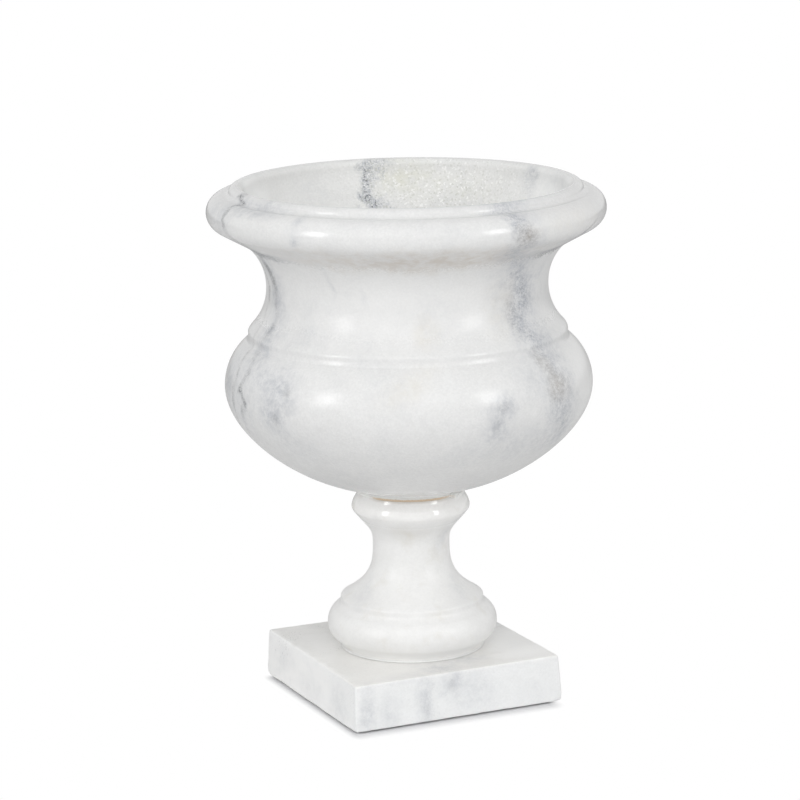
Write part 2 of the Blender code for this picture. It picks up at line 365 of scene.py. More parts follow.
def eased(points, ease, sharp=25.0, most=0.45):
    """Outline with each corner sharper than an angle replaced by a small curve."""
    made = [points[0]]
    for before, here, after in zip(points, points[1:], points[2:]):
        come = Vector(here) - Vector(before)
        go = Vector(after) - Vector(here)
        if come.angle(go) < math.radians(sharp):
            made.append(here)
            continue
        start = Vector(here) - come.normalized() * min(ease, most * come.length)
        end = Vector(here) + go.normalized() * min(ease, most * go.length)
        for t in (0.0, 0.25, 0.5, 0.75, 1.0):
            made.append(tuple(start * (1 - t) ** 2 + Vector(here) * 2 * t * (1 - t) + end * t**2))
    made.append(points[-1])
    return made


def angle_at(radius, centre, roll):
    """Angle in degrees at which a roll's circle reaches a given distance from the axis."""
    return math.degrees(math.acos((radius - centre) / roll))


def height_angle(height, centre, radius):
    """Angle in degrees at which a circle reaches a given height."""
    return math.degrees(math.asin((height - centre) / radius))


def bowl_hollow(brim):
    """Floor and inner wall up to the brim."""
    floor_edge = (HOLLOW_FLOOR_RADIUS, HOLLOW_FLOOR)
    wide = (HOLLOW_WIDE, BELLY_HEIGHT)
    throat = (HOLLOW_THROAT, NECK_HEIGHT)
    reach = HOLLOW_FLOOR_PULL * (HOLLOW_WIDE - HOLLOW_FLOOR_RADIUS)
    rise = HOLLOW_FLOOR_PULL * (BELLY_HEIGHT - HOLLOW_FLOOR)
    span = HOLLOW_WALL_PULL * (NECK_HEIGHT - BELLY_HEIGHT)
    climb = brim[1] - NECK_HEIGHT
    floor_handle = (HOLLOW_FLOOR_RADIUS + reach, HOLLOW_FLOOR)
    throat_handle = (HOLLOW_THROAT, NECK_HEIGHT + THROAT_PULL * climb)
    low = curve(floor_edge, floor_handle, (HOLLOW_WIDE, BELLY_HEIGHT - rise), wide, 18)
    middle = curve(wide, (HOLLOW_WIDE, BELLY_HEIGHT + span), (HOLLOW_THROAT, NECK_HEIGHT - span), throat, 16)
    high = curve(throat, throat_handle, (brim[0], brim[1] - BRIM_PULL * climb), brim, 26)
    return chain(line((0.0, HOLLOW_FLOOR), floor_edge, 8), low, middle, high)


def bowl_outside():
    """From the brim over the bead, lip, neck, band and belly to the foot."""
    lip_centre = (LIP_RADIUS - LIP_ROLL_RADIUS, LIP_HEIGHT)
    bead_centre = (BEAD_REACH - BEAD_RADIUS, BEAD_HEIGHT)
    groove_angle = angle_at(BEAD_REACH, lip_centre[0], LIP_ROLL_RADIUS)
    groove = LIP_HEIGHT + LIP_ROLL_RADIUS * math.sin(math.radians(groove_angle))
    bead = arc(bead_centre, BEAD_RADIUS, 180, height_angle(groove, BEAD_HEIGHT, BEAD_RADIUS), 22)
    lip = arc(lip_centre, LIP_ROLL_RADIUS, groove_angle, -LIP_UNDERCUT, 34)
    neck_centre = (NECK_RADIUS + NECK_CURVE, NECK_HEIGHT)
    neck_high = 180 - height_angle(CREASE_HEIGHT, NECK_HEIGHT, NECK_CURVE)
    neck_low = 180 - height_angle(BAND_TOP, NECK_HEIGHT, NECK_CURVE)
    neck = arc(neck_centre, NECK_CURVE, neck_high, neck_low, 34)
    undercut = line(lip[-1], neck[0], 6)
    crease = rounded(undercut[5], neck[0], neck[2])
    groove_bend = rounded(bead[-5], bead[-1], lip[5], 10)
    shoulder = rounded(neck[-3], neck[-1], (BAND_RADIUS, BAND_TOP - BAND_EASE))
    band = line(shoulder[-1], (BAND_RADIUS, BAND_BOTTOM), 2)
    belly_centre = (BELLY_RADIUS - BELLY_CURVE, BELLY_HEIGHT)
    crown = angle_at(BAND_RADIUS + BAND_COVE, belly_centre[0], BELLY_CURVE)
    upper = arc(belly_centre, BELLY_CURVE, crown, 0, 20)
    reach = BELLY_RADIUS - FOOT_RADIUS
    drop = BELLY_HEIGHT - FOOT_HEIGHT
    lower = curve(
        upper[-1],
        (BELLY_RADIUS, BELLY_HEIGHT - BELLY_DROP_PULL * drop),
        (FOOT_RADIUS + BELLY_FOOT_PULL * reach, FOOT_HEIGHT),
        (FOOT_RADIUS, FOOT_HEIGHT),
        40,
    )
    top = chain(bead[:-5], groove_bend, lip[6:], undercut[:5], crease)
    return chain(top, neck[3:-3], shoulder, band, upper, lower, [(FOOT_RADIUS, 0.0)])


def pedestal_outline():
    """Ring outline: top face, outside from top to bottom, underside and rod hole."""
    under = arc((CAP_REACH - CAP_ROLL_RADIUS, CAP_HEIGHT), CAP_ROLL_RADIUS, 0, -FLARE_SLOPE, 10)
    lean = math.tan(math.radians(CROWN_LEAN))
    crown_low = (CAP_REACH - CROWN_TURN * lean, CAP_HEIGHT + 2 * CROWN_TURN)
    crown_high = (crown_low[0] - CROWN_FACE * lean, crown_low[1] + CROWN_FACE)
    rim_low = (RIM_RADIUS, PEDESTAL_HEIGHT - RIM_EASE - RIM_FACE)
    rim_high = (RIM_RADIUS - RIM_FACE * lean, PEDESTAL_HEIGHT - RIM_EASE)
    rim = line(rim_high, rim_low, 4)
    cove = curve(
        rim_low,
        (rim_low[0] + CROWN_PULL * lean, rim_low[1] - CROWN_PULL),
        (crown_high[0] - CROWN_PULL * lean, crown_high[1] + CROWN_PULL),
        crown_high,
        14,
    )
    turn = rounded(crown_low, (CAP_REACH, CAP_HEIGHT + CROWN_TURN), (CAP_REACH, CAP_HEIGHT), 8)
    cap = chain(cove, line(crown_high, crown_low, 4), turn, under)
    edge = rounded((rim_high[0] - RIM_EASE, PEDESTAL_HEIGHT), (rim_high[0], PEDESTAL_HEIGHT), rim_high, 8)
    sweep = math.radians(FLARE_SLOPE)
    flare = curve(
        cap[-1],
        (cap[-1][0] - FLARE_CAP_HANDLE * math.sin(sweep), cap[-1][1] - FLARE_CAP_HANDLE * math.cos(sweep)),
        (STEM_RADIUS, STEM_HIGH + FLARE_STEM_HANDLE),
        (STEM_RADIUS, STEM_HIGH),
        22,
    )
    step = arc((STEP_RADIUS - STEP_EASE, STEP_HEIGHT), STEP_EASE, SCOTIA_LEAN, 0, 8)
    lean = math.radians(SCOTIA_LEAN)
    scotia = curve(
        (STEM_RADIUS, STEM_LOW),
        (STEM_RADIUS, STEM_LOW - SCOTIA_STEM_HANDLE),
        (step[0][0] - SCOTIA_FOOT_HANDLE * math.sin(lean), step[0][1] + SCOTIA_FOOT_HANDLE * math.cos(lean)),
        step[0],
        30,
    )
    roll_centre = (ROLL_REACH - ROLL_RADIUS, ROLL_HEIGHT)
    step_angle = angle_at(STEP_RADIUS - STEP_UNDERCUT, roll_centre[0], ROLL_RADIUS)
    disc_angle = -angle_at(DISC_RADIUS, roll_centre[0], ROLL_RADIUS)
    roll = arc(roll_centre, ROLL_RADIUS, step_angle, disc_angle, 34)
    face = chain(step, [(STEP_RADIUS, STEP_HEIGHT - STEP_FACE)])
    tuck = rounded(face[-1], roll[0], roll[5], 8)
    heel = rounded(roll[-9], roll[-1], (DISC_RADIUS + HEEL_REACH, HEEL_SHARE * DISC_HEIGHT), 8)
    disc = [(DISC_RADIUS, 0.0)]
    hole = line((ROD_HOLE_RADIUS, 0.0), (ROD_HOLE_RADIUS, PEDESTAL_HEIGHT), 6)
    return chain([hole[-1]], edge, rim, cap, flare, scotia, face, tuck, roll[6:-9], heel, disc, hole)


def washer_outline(bore, reach, height, ease):
    """Ring with eased edges."""
    corners = [(bore, height), (reach, height), (reach, 0.0), (bore, 0.0), (bore, height), (reach, height)]
    return chain(eased(corners, ease)[1:-1])


# Geometry Nodes


def new_tree(name, inputs):
    """Geometry tree with named inputs. Gives the bench, the inputs and a function that closes it."""
    tree = bpy.data.node_groups.new(name, "GeometryNodeTree")
    tree.interface.new_socket("Geometry", in_out="INPUT", socket_type="NodeSocketGeometry")
    for label, kind in inputs.items():
        tree.interface.new_socket(label, in_out="INPUT", socket_type="NodeSocket" + kind)
    tree.interface.new_socket("Geometry", in_out="OUTPUT", socket_type="NodeSocketGeometry")
    bench = Bench(tree)
    entry = bench.add("NodeGroupInput")

    def close(shape):
        solid = bench.add("GeometryNodeRealizeInstances", None, {"Geometry": shape})
        dressed = bench.add("GeometryNodeSetMaterial", None, {"Geometry": solid, "Material": entry.out("Finish")})
        bench.add("NodeGroupOutput", None, {"Geometry": dressed})

    return bench, entry, close


def round_grid(bench, columns, rows):
    """Grid to be wrapped round the axis. Gives it, the row of each point and its share of a turn."""
    grid = bench.add("GeometryNodeMeshGrid", None, {"Vertices X": columns + 1, "Vertices Y": rows})
    index = bench.add("GeometryNodeInputIndex")
    return grid, index % rows, bench.math("FLOOR", (index + 0.5) / rows) / columns


def moved(bench, shape, place):
    return bench.add("GeometryNodeSetPosition", None, {"Geometry": shape, "Position": place})


# Lumps of the waver to a turn, and to a metre of height
WAVER_ROUND = 2.2
WAVER_UP = 14


def lathe_tree():
    """Turns an outline round the axis. Rows follow the outline and columns go round."""
    bench, entry, close = new_tree(
        "turned_on_the_lathe",
        {"Columns": "Int", "Waver": "Float", "Seed": "Float", "Hollow Rows": "Int", "Finish": "Material"},
    )
    rows = bench.add("GeometryNodeAttributeDomainSize", {"component": "MESH"}, {"Geometry": entry})
    grid, row, turn = round_grid(bench, entry.out("Columns"), rows)
    outline = bench.add(
        "GeometryNodeSampleIndex",
        {"data_type": "FLOAT_VECTOR", "domain": "POINT"},
        {"Geometry": entry, "Value": bench.add("GeometryNodeInputPosition"), "Index": row},
    )
    radius, _, height = bench.split(outline)
    across = bench.math("COSINE", turn * math.tau)
    along = bench.math("SINE", turn * math.tau)
    seeded = across * WAVER_ROUND + entry.out("Seed")
    where = bench.combine(seeded, along * WAVER_ROUND, height * WAVER_UP)
    waver = (bench.cloud(where, 1.0, 2.0) - 0.5) * entry.out("Waver") * bench.ease(radius, 0.0, 0.02)
    reach = radius + waver
    last = entry.out("Hollow Rows")
    fade = bench.ease(row, last, last + HOLLOW_FADE_ROWS, 1.0, 0.0)
    wrapped = moved(bench, grid, bench.combine(reach * across, reach * along, height))
    marked = bench.add(
        "GeometryNodeStoreNamedAttribute",
        {"data_type": "FLOAT", "domain": "POINT"},
        {"Geometry": wrapped, "Name": "hollow", "Value": fade},
    )
    close(bench.add("GeometryNodeMergeByDistance", None, {"Geometry": marked, "Distance": SAME_IN_MESH}))
    return bench.tree


def thread_tree():
    """Threaded rod: rows climb the rod, columns go round, and the radius follows the helix."""
    measures = dict.fromkeys(("Radius", "Depth", "Pitch", "Bottom", "Length"), "Float")
    inputs = {"Columns": "Int", "Rows": "Int", **measures, "Finish": "Material"}
    bench, entry, close = new_tree("threaded_rod", inputs)
    rows = entry.out("Rows")
    grid, row, turn = round_grid(bench, entry.out("Columns"), rows)
    share = ((row - 1) / (rows - 3)).most(0.0).least(1.0)
    height = share * entry.out("Length")
    phase = (height / entry.out("Pitch") - turn) % 1.0
    flank = bench.ease(abs(phase - 0.5) * 2, 0.15, 0.85)
    left = entry.out("Length") - height
    ends = bench.ease(height, 0.0, THREAD_RUN_OUT) * bench.ease(left, 0.0, THREAD_RUN_OUT)
    depth = 1 - ends * (1 - flank)
    radius = entry.out("Radius") - entry.out("Depth") * depth
    closed = (row - 0.5).below(0.0) + (rows - 1.5).below(row)
    reach = radius * (1 - closed)
    angle = turn * math.tau
    across = reach * bench.math("COSINE", angle)
    along = reach * bench.math("SINE", angle)
    rod = moved(bench, grid, bench.combine(across, along, height + entry.out("Bottom")))
    close(bench.add("GeometryNodeMergeByDistance", None, {"Geometry": rod, "Distance": SAME_IN_MESH}))
    return bench.tree


def slab_tree():
    """Square slab with rows gathered at its edges, and arrises that wear unevenly."""
    measures = dict.fromkeys(("Arris", "Wear", "Taper", "Centre Height", "Seed"), "Float")
    bench, entry, close = new_tree("worn_slab", {"Half Size": "Vector", **measures, "Finish": "Material"})
    counts = {"Size": (2.0, 2.0, 2.0), "Vertices X": 111, "Vertices Y": 111, "Vertices Z": 37}
    cube = bench.add("GeometryNodeMeshCube", None, counts)
    raw = bench.add("GeometryNodeInputPosition")
    cubed = bench.vector("MULTIPLY", bench.vector("MULTIPLY", raw, raw), raw)
    spread = bench.vector("MULTIPLY", raw, (1.5, 1.5, 1.5))
    gathered = bench.vector("SUBTRACT", spread, bench.vector("MULTIPLY", cubed, (0.5, 0.5, 0.5)))
    half = entry.out("Half Size")
    place = bench.vector("MULTIPLY", gathered, half)
    seeded = bench.vector("ADD", place, bench.combine(entry.out("Seed"), 0.0, 0.0))
    long_wear = bench.ease(bench.cloud(seeded, 45.0, 3.0), 0.42, 0.75)
    short_wear = bench.ease(bench.cloud(seeded, 260.0, 3.0, 0.6), 0.55, 0.8)
    arris = entry.out("Arris") + entry.out("Wear") * (long_wear + short_wear * 0.8)
    ball = bench.combine(arris, arris, arris)
    inset = bench.vector("SUBTRACT", half, ball)
    least = bench.vector("MULTIPLY", inset, (-1.0, -1.0, -1.0))
    core = bench.vector("MAXIMUM", bench.vector("MINIMUM", place, inset), least)
    outward = bench.vector("NORMALIZE", bench.vector("SUBTRACT", place, core))
    x, y, z = bench.split(bench.vector("ADD", core, bench.vector("MULTIPLY", outward, ball)))
    half_z = bench.split(half)[2]
    narrow = 1 - entry.out("Taper") * (z / half_z + 1) / 2
    close(moved(bench, cube, bench.combine(x * narrow, y * narrow, z + entry.out("Centre Height"))))
    return bench.tree


def put(name, data):
    """New object in the scene."""
    made = bpy.data.objects.new(name, data)
    bpy.context.scene.collection.objects.link(made)
    return made


def settled(piece, modifier):
    """Turns a modifier's result into the piece's plain mesh."""
    bpy.context.view_layer.update()
    graph = bpy.context.evaluated_depsgraph_get()
    plain = bpy.data.meshes.new_from_object(piece.evaluated_get(graph), depsgraph=graph)
    piece.modifiers.remove(modifier)
    piece.data = plain
    return plain


def nodes_made(name, tree, base, values):
    """Runs a tree on a base mesh and gives its result as a plain mesh object."""
    made = put(name, base)
    modifier = made.modifiers.new("shape", "NODES")
    modifier.node_group = tree
    for item in tree.interface.items_tree:
        if item.item_type == "SOCKET" and item.in_out == "INPUT" and item.name in values:
            modifier[item.identifier] = values[item.name]
    settled(made, modifier).name = name
    return made


def faced(piece, corner=STONE_CORNER):
    """Turns the faces outwards and shades smooth, with true corners kept."""
    mesh = piece.data
    shape = bmesh.new()
    shape.from_mesh(mesh)
    bmesh.ops.dissolve_degenerate(shape, dist=SAME_IN_FACE, edges=shape.edges)
    bmesh.ops.recalc_face_normals(shape, faces=shape.faces)
    shape.to_mesh(mesh)
    shape.free()
    mesh.shade_smooth()
    mesh.set_sharp_from_angle(angle=math.radians(corner))
    return piece


def fitted(piece, node):
    """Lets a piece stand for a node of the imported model."""
    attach(piece, "root")
    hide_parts(node)


LATHE = lathe_tree()
THREAD = thread_tree()
SLAB = slab_tree()


def turned(name, node, outline, finish, columns=SMALL_COLUMNS, waver=0.0, seed=0.0, hollow_rows=0, centre=(0.0, 0.0)):
    """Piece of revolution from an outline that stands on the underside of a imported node."""
    base = base_of(node)
    mesh = bpy.data.meshes.new(name + "_outline")
    mesh.from_pydata([(radius, 0.0, height + base) for radius, height in outline], [], [])
    values = {"Columns": columns, "Waver": waver, "Seed": seed, "Hollow Rows": hollow_rows, "Finish": finish}
    piece = nodes_made(name, LATHE, mesh, values)
    piece.data.transform(Matrix.Translation((*centre, 0.0)))
    return faced(piece)


# Finishes


def new_finish(name):
    """Material with a plain shader. Gives its bench and the shader node."""
    made = bpy.data.materials.new(name)
    made.use_nodes = True
    return made, Bench(made.node_tree), made.node_tree.nodes["Principled BSDF"]


def colour(red, green, blue):
    return (red, green, blue, 1.0)


BOWL_STONE = colour(0.7375, 0.7385, 0.7345)
HOLLOW_STONE = colour(0.766, 0.767, 0.757)
# Pale tint that paints light onto the shaded ends of the inner wall
HOLLOW_PAINTED_LIGHT_TINT = colour(0.935, 0.94, 0.935)
PEDESTAL_STONE = colour(0.840, 0.839, 0.830)
# Brighter tint that paints light onto the cap, which lies in the bowl's shadow
CAP_PAINTED_LIGHT_TINT = colour(0.935, 0.931, 0.917)
# Pale tint that paints light onto the bowl's foot and the underside of the pedestal's roll, where shade falls
UNDERSIDE_PAINTED_LIGHT_TINT = colour(0.95, 0.95, 0.94)
PLINTH_STONE = colour(0.836, 0.844, 0.845)
PLINTH_TOP_STONE = colour(0.822, 0.815, 0.794)
# Pale tint that paints light onto the plinth's left face and top
PLINTH_PAINTED_LIGHT_TINT = colour(0.935, 0.935, 0.925)
# Blue-grey of veins, also painted shade along the crease, under the lip's ends and at the belly's left edge
BLUE_VEIN_AND_PAINTED_SHADE = colour(0.40, 0.42, 0.46)
# Near black of veins, also painted shade in the crease, under the lip's ends and along the bowl's edges
DARK_VEIN_AND_PAINTED_SHADE = colour(0.10, 0.105, 0.115)
# Pale tint that paints light onto the bowl's neck front and right side
BOWL_PAINTED_LIGHT_TINT = colour(0.82, 0.82, 0.815)
BEIGE_MOTTLE = colour(0.66, 0.63, 0.56)
GREEN_MOTTLE = colour(0.67, 0.67, 0.57)
# Warm brown: painted shade under the lip, and a band under the joint on the cap's rim
WARM_BROWN = colour(0.56, 0.51, 0.45)
GREEN_SPECK = colour(0.42, 0.43, 0.36)
CRYSTAL = colour(0.95, 0.95, 0.94)
RUST = colour(0.40, 0.36, 0.31)
TAN_GLUE = colour(0.70, 0.55, 0.40)
# Chalky white of adhesive, also painted light above the tan line
CHALKY_GLUE_AND_PAINTED_LIGHT = colour(0.94, 0.94, 0.92)
PALE_GLUE = colour(0.88, 0.88, 0.87)
DULL_GLUE = colour(0.82, 0.82, 0.81)
FELT = colour(0.085, 0.08, 0.075)
DARK_RESIN = colour(0.50, 0.41, 0.26)
LIGHT_RESIN = colour(0.60, 0.51, 0.35)
WHITE = colour(1.0, 1.0, 1.0)
STONE_SHEEN = 0.42

# Heights of the stones' joints
FOOT_TOP = base_of("bowl") + FOOT_HEIGHT
CAP_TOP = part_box("pedestal")[1].z
HEEL_TOP = base_of("pedestal") + DISC_HEIGHT

# Heights between which a look of the stone sets in, some of them painted light
NECK_FOOT = (0.290, 0.310)
NECK_HEAD = (0.365, 0.345)
LIP_FOOT = (0.360, 0.370)
BOWL_FOOT = (FOOT_TOP + 0.0010, FOOT_TOP)
CAP_PAINTED_LIGHT_HEIGHTS = (0.141, 0.152)
CAP_POLISH = (0.136, 0.146)
CAP_BROWN_BAND = (CAP_TOP - 0.0026, CAP_TOP - 0.0004)
ROLL_UNDERSIDE = (0.056, 0.042)
HEEL = (HEEL_TOP + 0.0002, HEEL_TOP - 0.0006)
PLINTH_TOP = (0.0355, 0.0375)
PLINTH_RING = (0.0360, 0.0370)
PLINTH_SAWN = (0.004, 0.0015)

# Metres of surface to a radian where patches are laid out, and how far noise strays their edges
UNROLL = 0.13
BOWL_STRAY = 0.016
PEDESTAL_STRAY = (0.03, 0.022)
PLINTH_STRAY = (0.02, 0.02, 0.02)
# Share of a soft mask's half size at which it has faded out
FADED = 1.3
# Patches from this angle on, in degrees, lie on the sheet that is cut open at the front
REAR_TURN = 100


def stone_grounds(bench):
    """Object coordinates, their turn round the axis, and noise that breaks up every edge."""
    place = bench.place()
    x, y, z = bench.split(place)
    side = x * RIGHT[0] + y * RIGHT[1]
    near = x * FRONT[0] + y * FRONT[1]
    around = bench.math("ARCTAN2", side, near)
    radius = bench.math("SQRT", x * x + y * y)
    drift = bench.cloud(place, 60.0, 6.0, 0.65, "Color")
    drift_x, drift_y, _ = bench.split(drift)
    return place, around, radius, z, drift_x - 0.5, drift_y - 0.5


def joined(masks):
    """Strongest of soft masks. Each is taken in as soon as it is made, which keeps few of them open."""
    masks = iter(masks)
    total = next(masks)
    for mask in masks:
        total = total.most(mask)
    return total


def heaped(masks):
    """Sum of soft masks, never past one, taken in as they are made."""
    masks = iter(masks)
    rest = 1 - next(masks)
    for mask in masks:
        rest = rest * (1 - mask)
    return 1 - rest


def patch(bench, sheet, angle, height, half_across, half_high, tilt, strength):
    """Soft cloud on the unrolled surface, sizes in metres, angle and tilt in degrees."""
    x, y = sheet
    centre = math.radians(angle) * UNROLL
    cosine, sine = math.cos(math.radians(tilt)), math.sin(math.radians(tilt))
    shift = centre * cosine + height * sine
    climb = height * cosine - centre * sine
    across = bench.math("MULTIPLY_ADD", x, cosine / half_across, -shift / half_across)
    high = bench.math("MULTIPLY_ADD", y, cosine / half_high, -climb / half_high)
    if tilt:
        across = across + y * (sine / half_across)
        high = high - x * (sine / half_high)
    reach = bench.math("SQRT", bench.math("MULTIPLY_ADD", across, across, high * high))
    return bench.ease(reach, 0.0, FADED, strength, 0.0)


# Range of heights and greatest half width of the veins' tables
COURSE_LOW = 0.19
COURSE_HIGH = 0.41
COURSE_WIDTH = 0.04


def vein(bench, around, radius, height, drift, course, core=0.0):
    """Vein that climbs the bowl along a table, full as far as the core and soft from there."""
    stops = []
    for level, angle, half_width, strength in course:
        place = (level - COURSE_LOW) / (COURSE_HIGH - COURSE_LOW)
        stops.append((place, (angle / 360 + 0.5, half_width / COURSE_WIDTH, strength)))
    share = (height - COURSE_LOW) / (COURSE_HIGH - COURSE_LOW)
    ramp = bench.add("ShaderNodeValToRGB", {"stops": stops}, {"Fac": share})
    centre = bench.add("ShaderNodeSeparateColor", None, {0: ramp})
    offset = around - (centre - 0.5) * math.tau
    wrapped = (offset + math.pi) % math.tau - math.pi
    away = abs(wrapped * radius + drift)
    share = away / (centre.out("Green") * COURSE_WIDTH)
    return bench.ease(share, core, FADED, 1.0, 0.0) * centre.out("Blue")


# Veins, and two lines of painted shade at the bowl's edges: height, angle, half width, strength
RIGHT_BAND = (
    (0.2030, 62.0, 0.0135, 0.00),
    (0.2185, 60.0, 0.0149, 0.55),
    (0.2300, 57.5, 0.0175, 0.66),
    (0.2405, 55.0, 0.0189, 0.70),
    (0.2525, 54.5, 0.0195, 0.70),
    (0.2620, 55.0, 0.0185, 0.66),
    (0.2720, 53.5, 0.0175, 0.60),
    (0.2810, 53.5, 0.0162, 0.58),
    (0.2885, 54.0, 0.0162, 0.68),
    (0.2955, 50.4, 0.0150, 0.80),
    (0.3030, 47.8, 0.0160, 0.90),
    (0.3120, 49.6, 0.0165, 1.00),
    (0.3240, 52.3, 0.0145, 1.00),
    (0.3370, 50.8, 0.0121, 0.90),
    (0.3480, 47.3, 0.0121, 0.70),
    (0.3580, 40.0, 0.0175, 0.60),
    (0.3660, 34.0, 0.0175, 0.65),
    (0.3770, 35.5, 0.0149, 0.85),
    (0.3840, 33.5, 0.0121, 0.80),
    (0.3910, 32.5, 0.0121, 0.85),
    (0.3960, 30.5, 0.0175, 0.80),
    (0.4020, 33.0, 0.0189, 0.50),
)
RIGHT_HALO = (
    (0.1950, 60.0, 0.020, 0.00),
    (0.2150, 57.0, 0.026, 0.32),
    (0.2400, 54.0, 0.028, 0.40),
    (0.2620, 51.0, 0.026, 0.34),
    (0.2850, 55.0, 0.026, 0.40),
    (0.3000, 52.0, 0.032, 0.40),
    (0.3240, 51.0, 0.034, 0.44),
    (0.3500, 47.0, 0.032, 0.38),
    (0.3660, 37.0, 0.024, 0.34),
    (0.3850, 36.0, 0.020, 0.26),
    (0.4020, 36.0, 0.028, 0.34),
)
LEFT_LINE = (
    (0.2150, -66.0, 0.0034, 0.00),
    (0.2238, -66.5, 0.0034, 0.45),
    (0.2352, -63.0, 0.0037, 0.42),
    (0.2468, -61.2, 0.0044, 0.75),
    (0.2562, -64.2, 0.0041, 0.60),
    (0.2684, -61.9, 0.0044, 0.55),
    (0.2728, -63.0, 0.0044, 0.32),
    (0.2830, -64.0, 0.0044, 0.15),
    (0.2904, -64.3, 0.0051, 0.20),
    (0.3000, -63.0, 0.0051, 0.28),
    (0.3060, -62.6, 0.0048, 0.16),
    (0.3178, -66.0, 0.0052, 0.36),
    (0.3267, -67.6, 0.0062, 0.75),
    (0.3416, -68.2, 0.0068, 1.00),
    (0.3520, -68.8, 0.0064, 1.00),
    (0.3580, -65.5, 0.0060, 1.00),
    (0.3645, -60.8, 0.0060, 1.00),
    (0.3721, -60.0, 0.0054, 0.95),
    (0.3765, -62.3, 0.0038, 0.75),
    (0.3845, -63.5, 0.0034, 0.75),
    (0.3915, -63.6, 0.0034, 0.60),
    (0.3943, -63.8, 0.0037, 0.80),
    (0.3960, -62.5, 0.0070, 1.00),
    (0.3992, -67.4, 0.0070, 1.00),
    (0.4020, -66.5, 0.0060, 0.80),
)
# Dark line along the bowl's left edge: painted shade, partly a vein
LEFT_EDGE = (
    (0.2150, -73.0, 0.0034, 0.00),
    (0.2350, -71.0, 0.0041, 0.50),
    (0.2600, -69.6, 0.0044, 0.60),
    (0.2800, -71.5, 0.0041, 0.40),
    (0.3000, -75.0, 0.0041, 0.20),
    (0.3300, -76.0, 0.0045, 0.85),
    (0.3500, -78.0, 0.0045, 0.85),
    (0.3700, -78.0, 0.0034, 0.00),
)
# Short dark line at the right end of the crease under the lip: painted shade, partly a vein
RIGHT_EDGE = (
    (0.3510, 65.0, 0.0040, 0.00),
    (0.3580, 63.5, 0.0050, 0.75),
    (0.3645, 62.0, 0.0052, 0.85),
    (0.3721, 62.4, 0.0050, 0.75),
    (0.3780, 67.0, 0.0040, 0.30),
    (0.3850, 72.0, 0.0034, 0.00),
)
LEFT_HALO = (
    (0.2050, -62.0, 0.0175, 0.00),
    (0.2350, -64.0, 0.0225, 0.42),
    (0.2600, -63.0, 0.0213, 0.40),
    (0.2850, -61.0, 0.0200, 0.48),
    (0.3050, -62.0, 0.0187, 0.40),
    (0.3200, -64.5, 0.0163, 0.60),
    (0.3350, -66.0, 0.0150, 0.55),
    (0.3500, -67.0, 0.0175, 0.50),
    (0.3750, -66.0, 0.0175, 0.22),
    (0.3960, -64.0, 0.0175, 0.42),
    (0.4020, -66.0, 0.0150, 0.30),
)
REAR_BAND = (
    (0.2050, 128.0, 0.010, 0.00),
    (0.2350, 134.0, 0.014, 0.60),
    (0.2620, 140.0, 0.012, 0.80),
    (0.3000, 150.0, 0.010, 0.55),
    (0.3350, 158.0, 0.011, 0.80),
    (0.3750, 168.0, 0.012, 0.70),
    (0.4020, 172.0, 0.010, 0.30),
)
REAR_LINE = (
    (0.2300, -118.0, 0.0041, 0.00),
    (0.2550, -121.0, 0.0048, 0.70),
    (0.2900, -128.0, 0.0044, 0.45),
    (0.3300, -138.0, 0.0048, 0.80),
    (0.3700, -152.0, 0.0044, 0.70),
    (0.4020, -160.0, 0.0041, 0.60),
)
HOLLOW_STREAK = (
    (0.3000, -168.0, 0.004, 0.00),
    (0.3450, -167.0, 0.006, 0.70),
    (0.3676, -166.5, 0.006, 1.00),
    (0.3770, -164.5, 0.006, 0.95),
    (0.3845, -163.5, 0.006, 0.90),
    (0.3940, -165.0, 0.006, 0.85),
    (0.3990, -167.0, 0.007, 0.70),
    (0.4020, -168.0, 0.007, 0.45),
)
HOLLOW_HALO = (
    (0.3000, -172.0, 0.012, 0.00),
    (0.3450, -171.0, 0.015, 0.55),
    (0.3676, -169.0, 0.0105, 0.80),
    (0.3770, -167.5, 0.0100, 0.85),
    (0.3845, -166.5, 0.0100, 0.85),
    (0.3940, -168.0, 0.0100, 0.80),
    (0.4020, -170.5, 0.0100, 0.55),
)

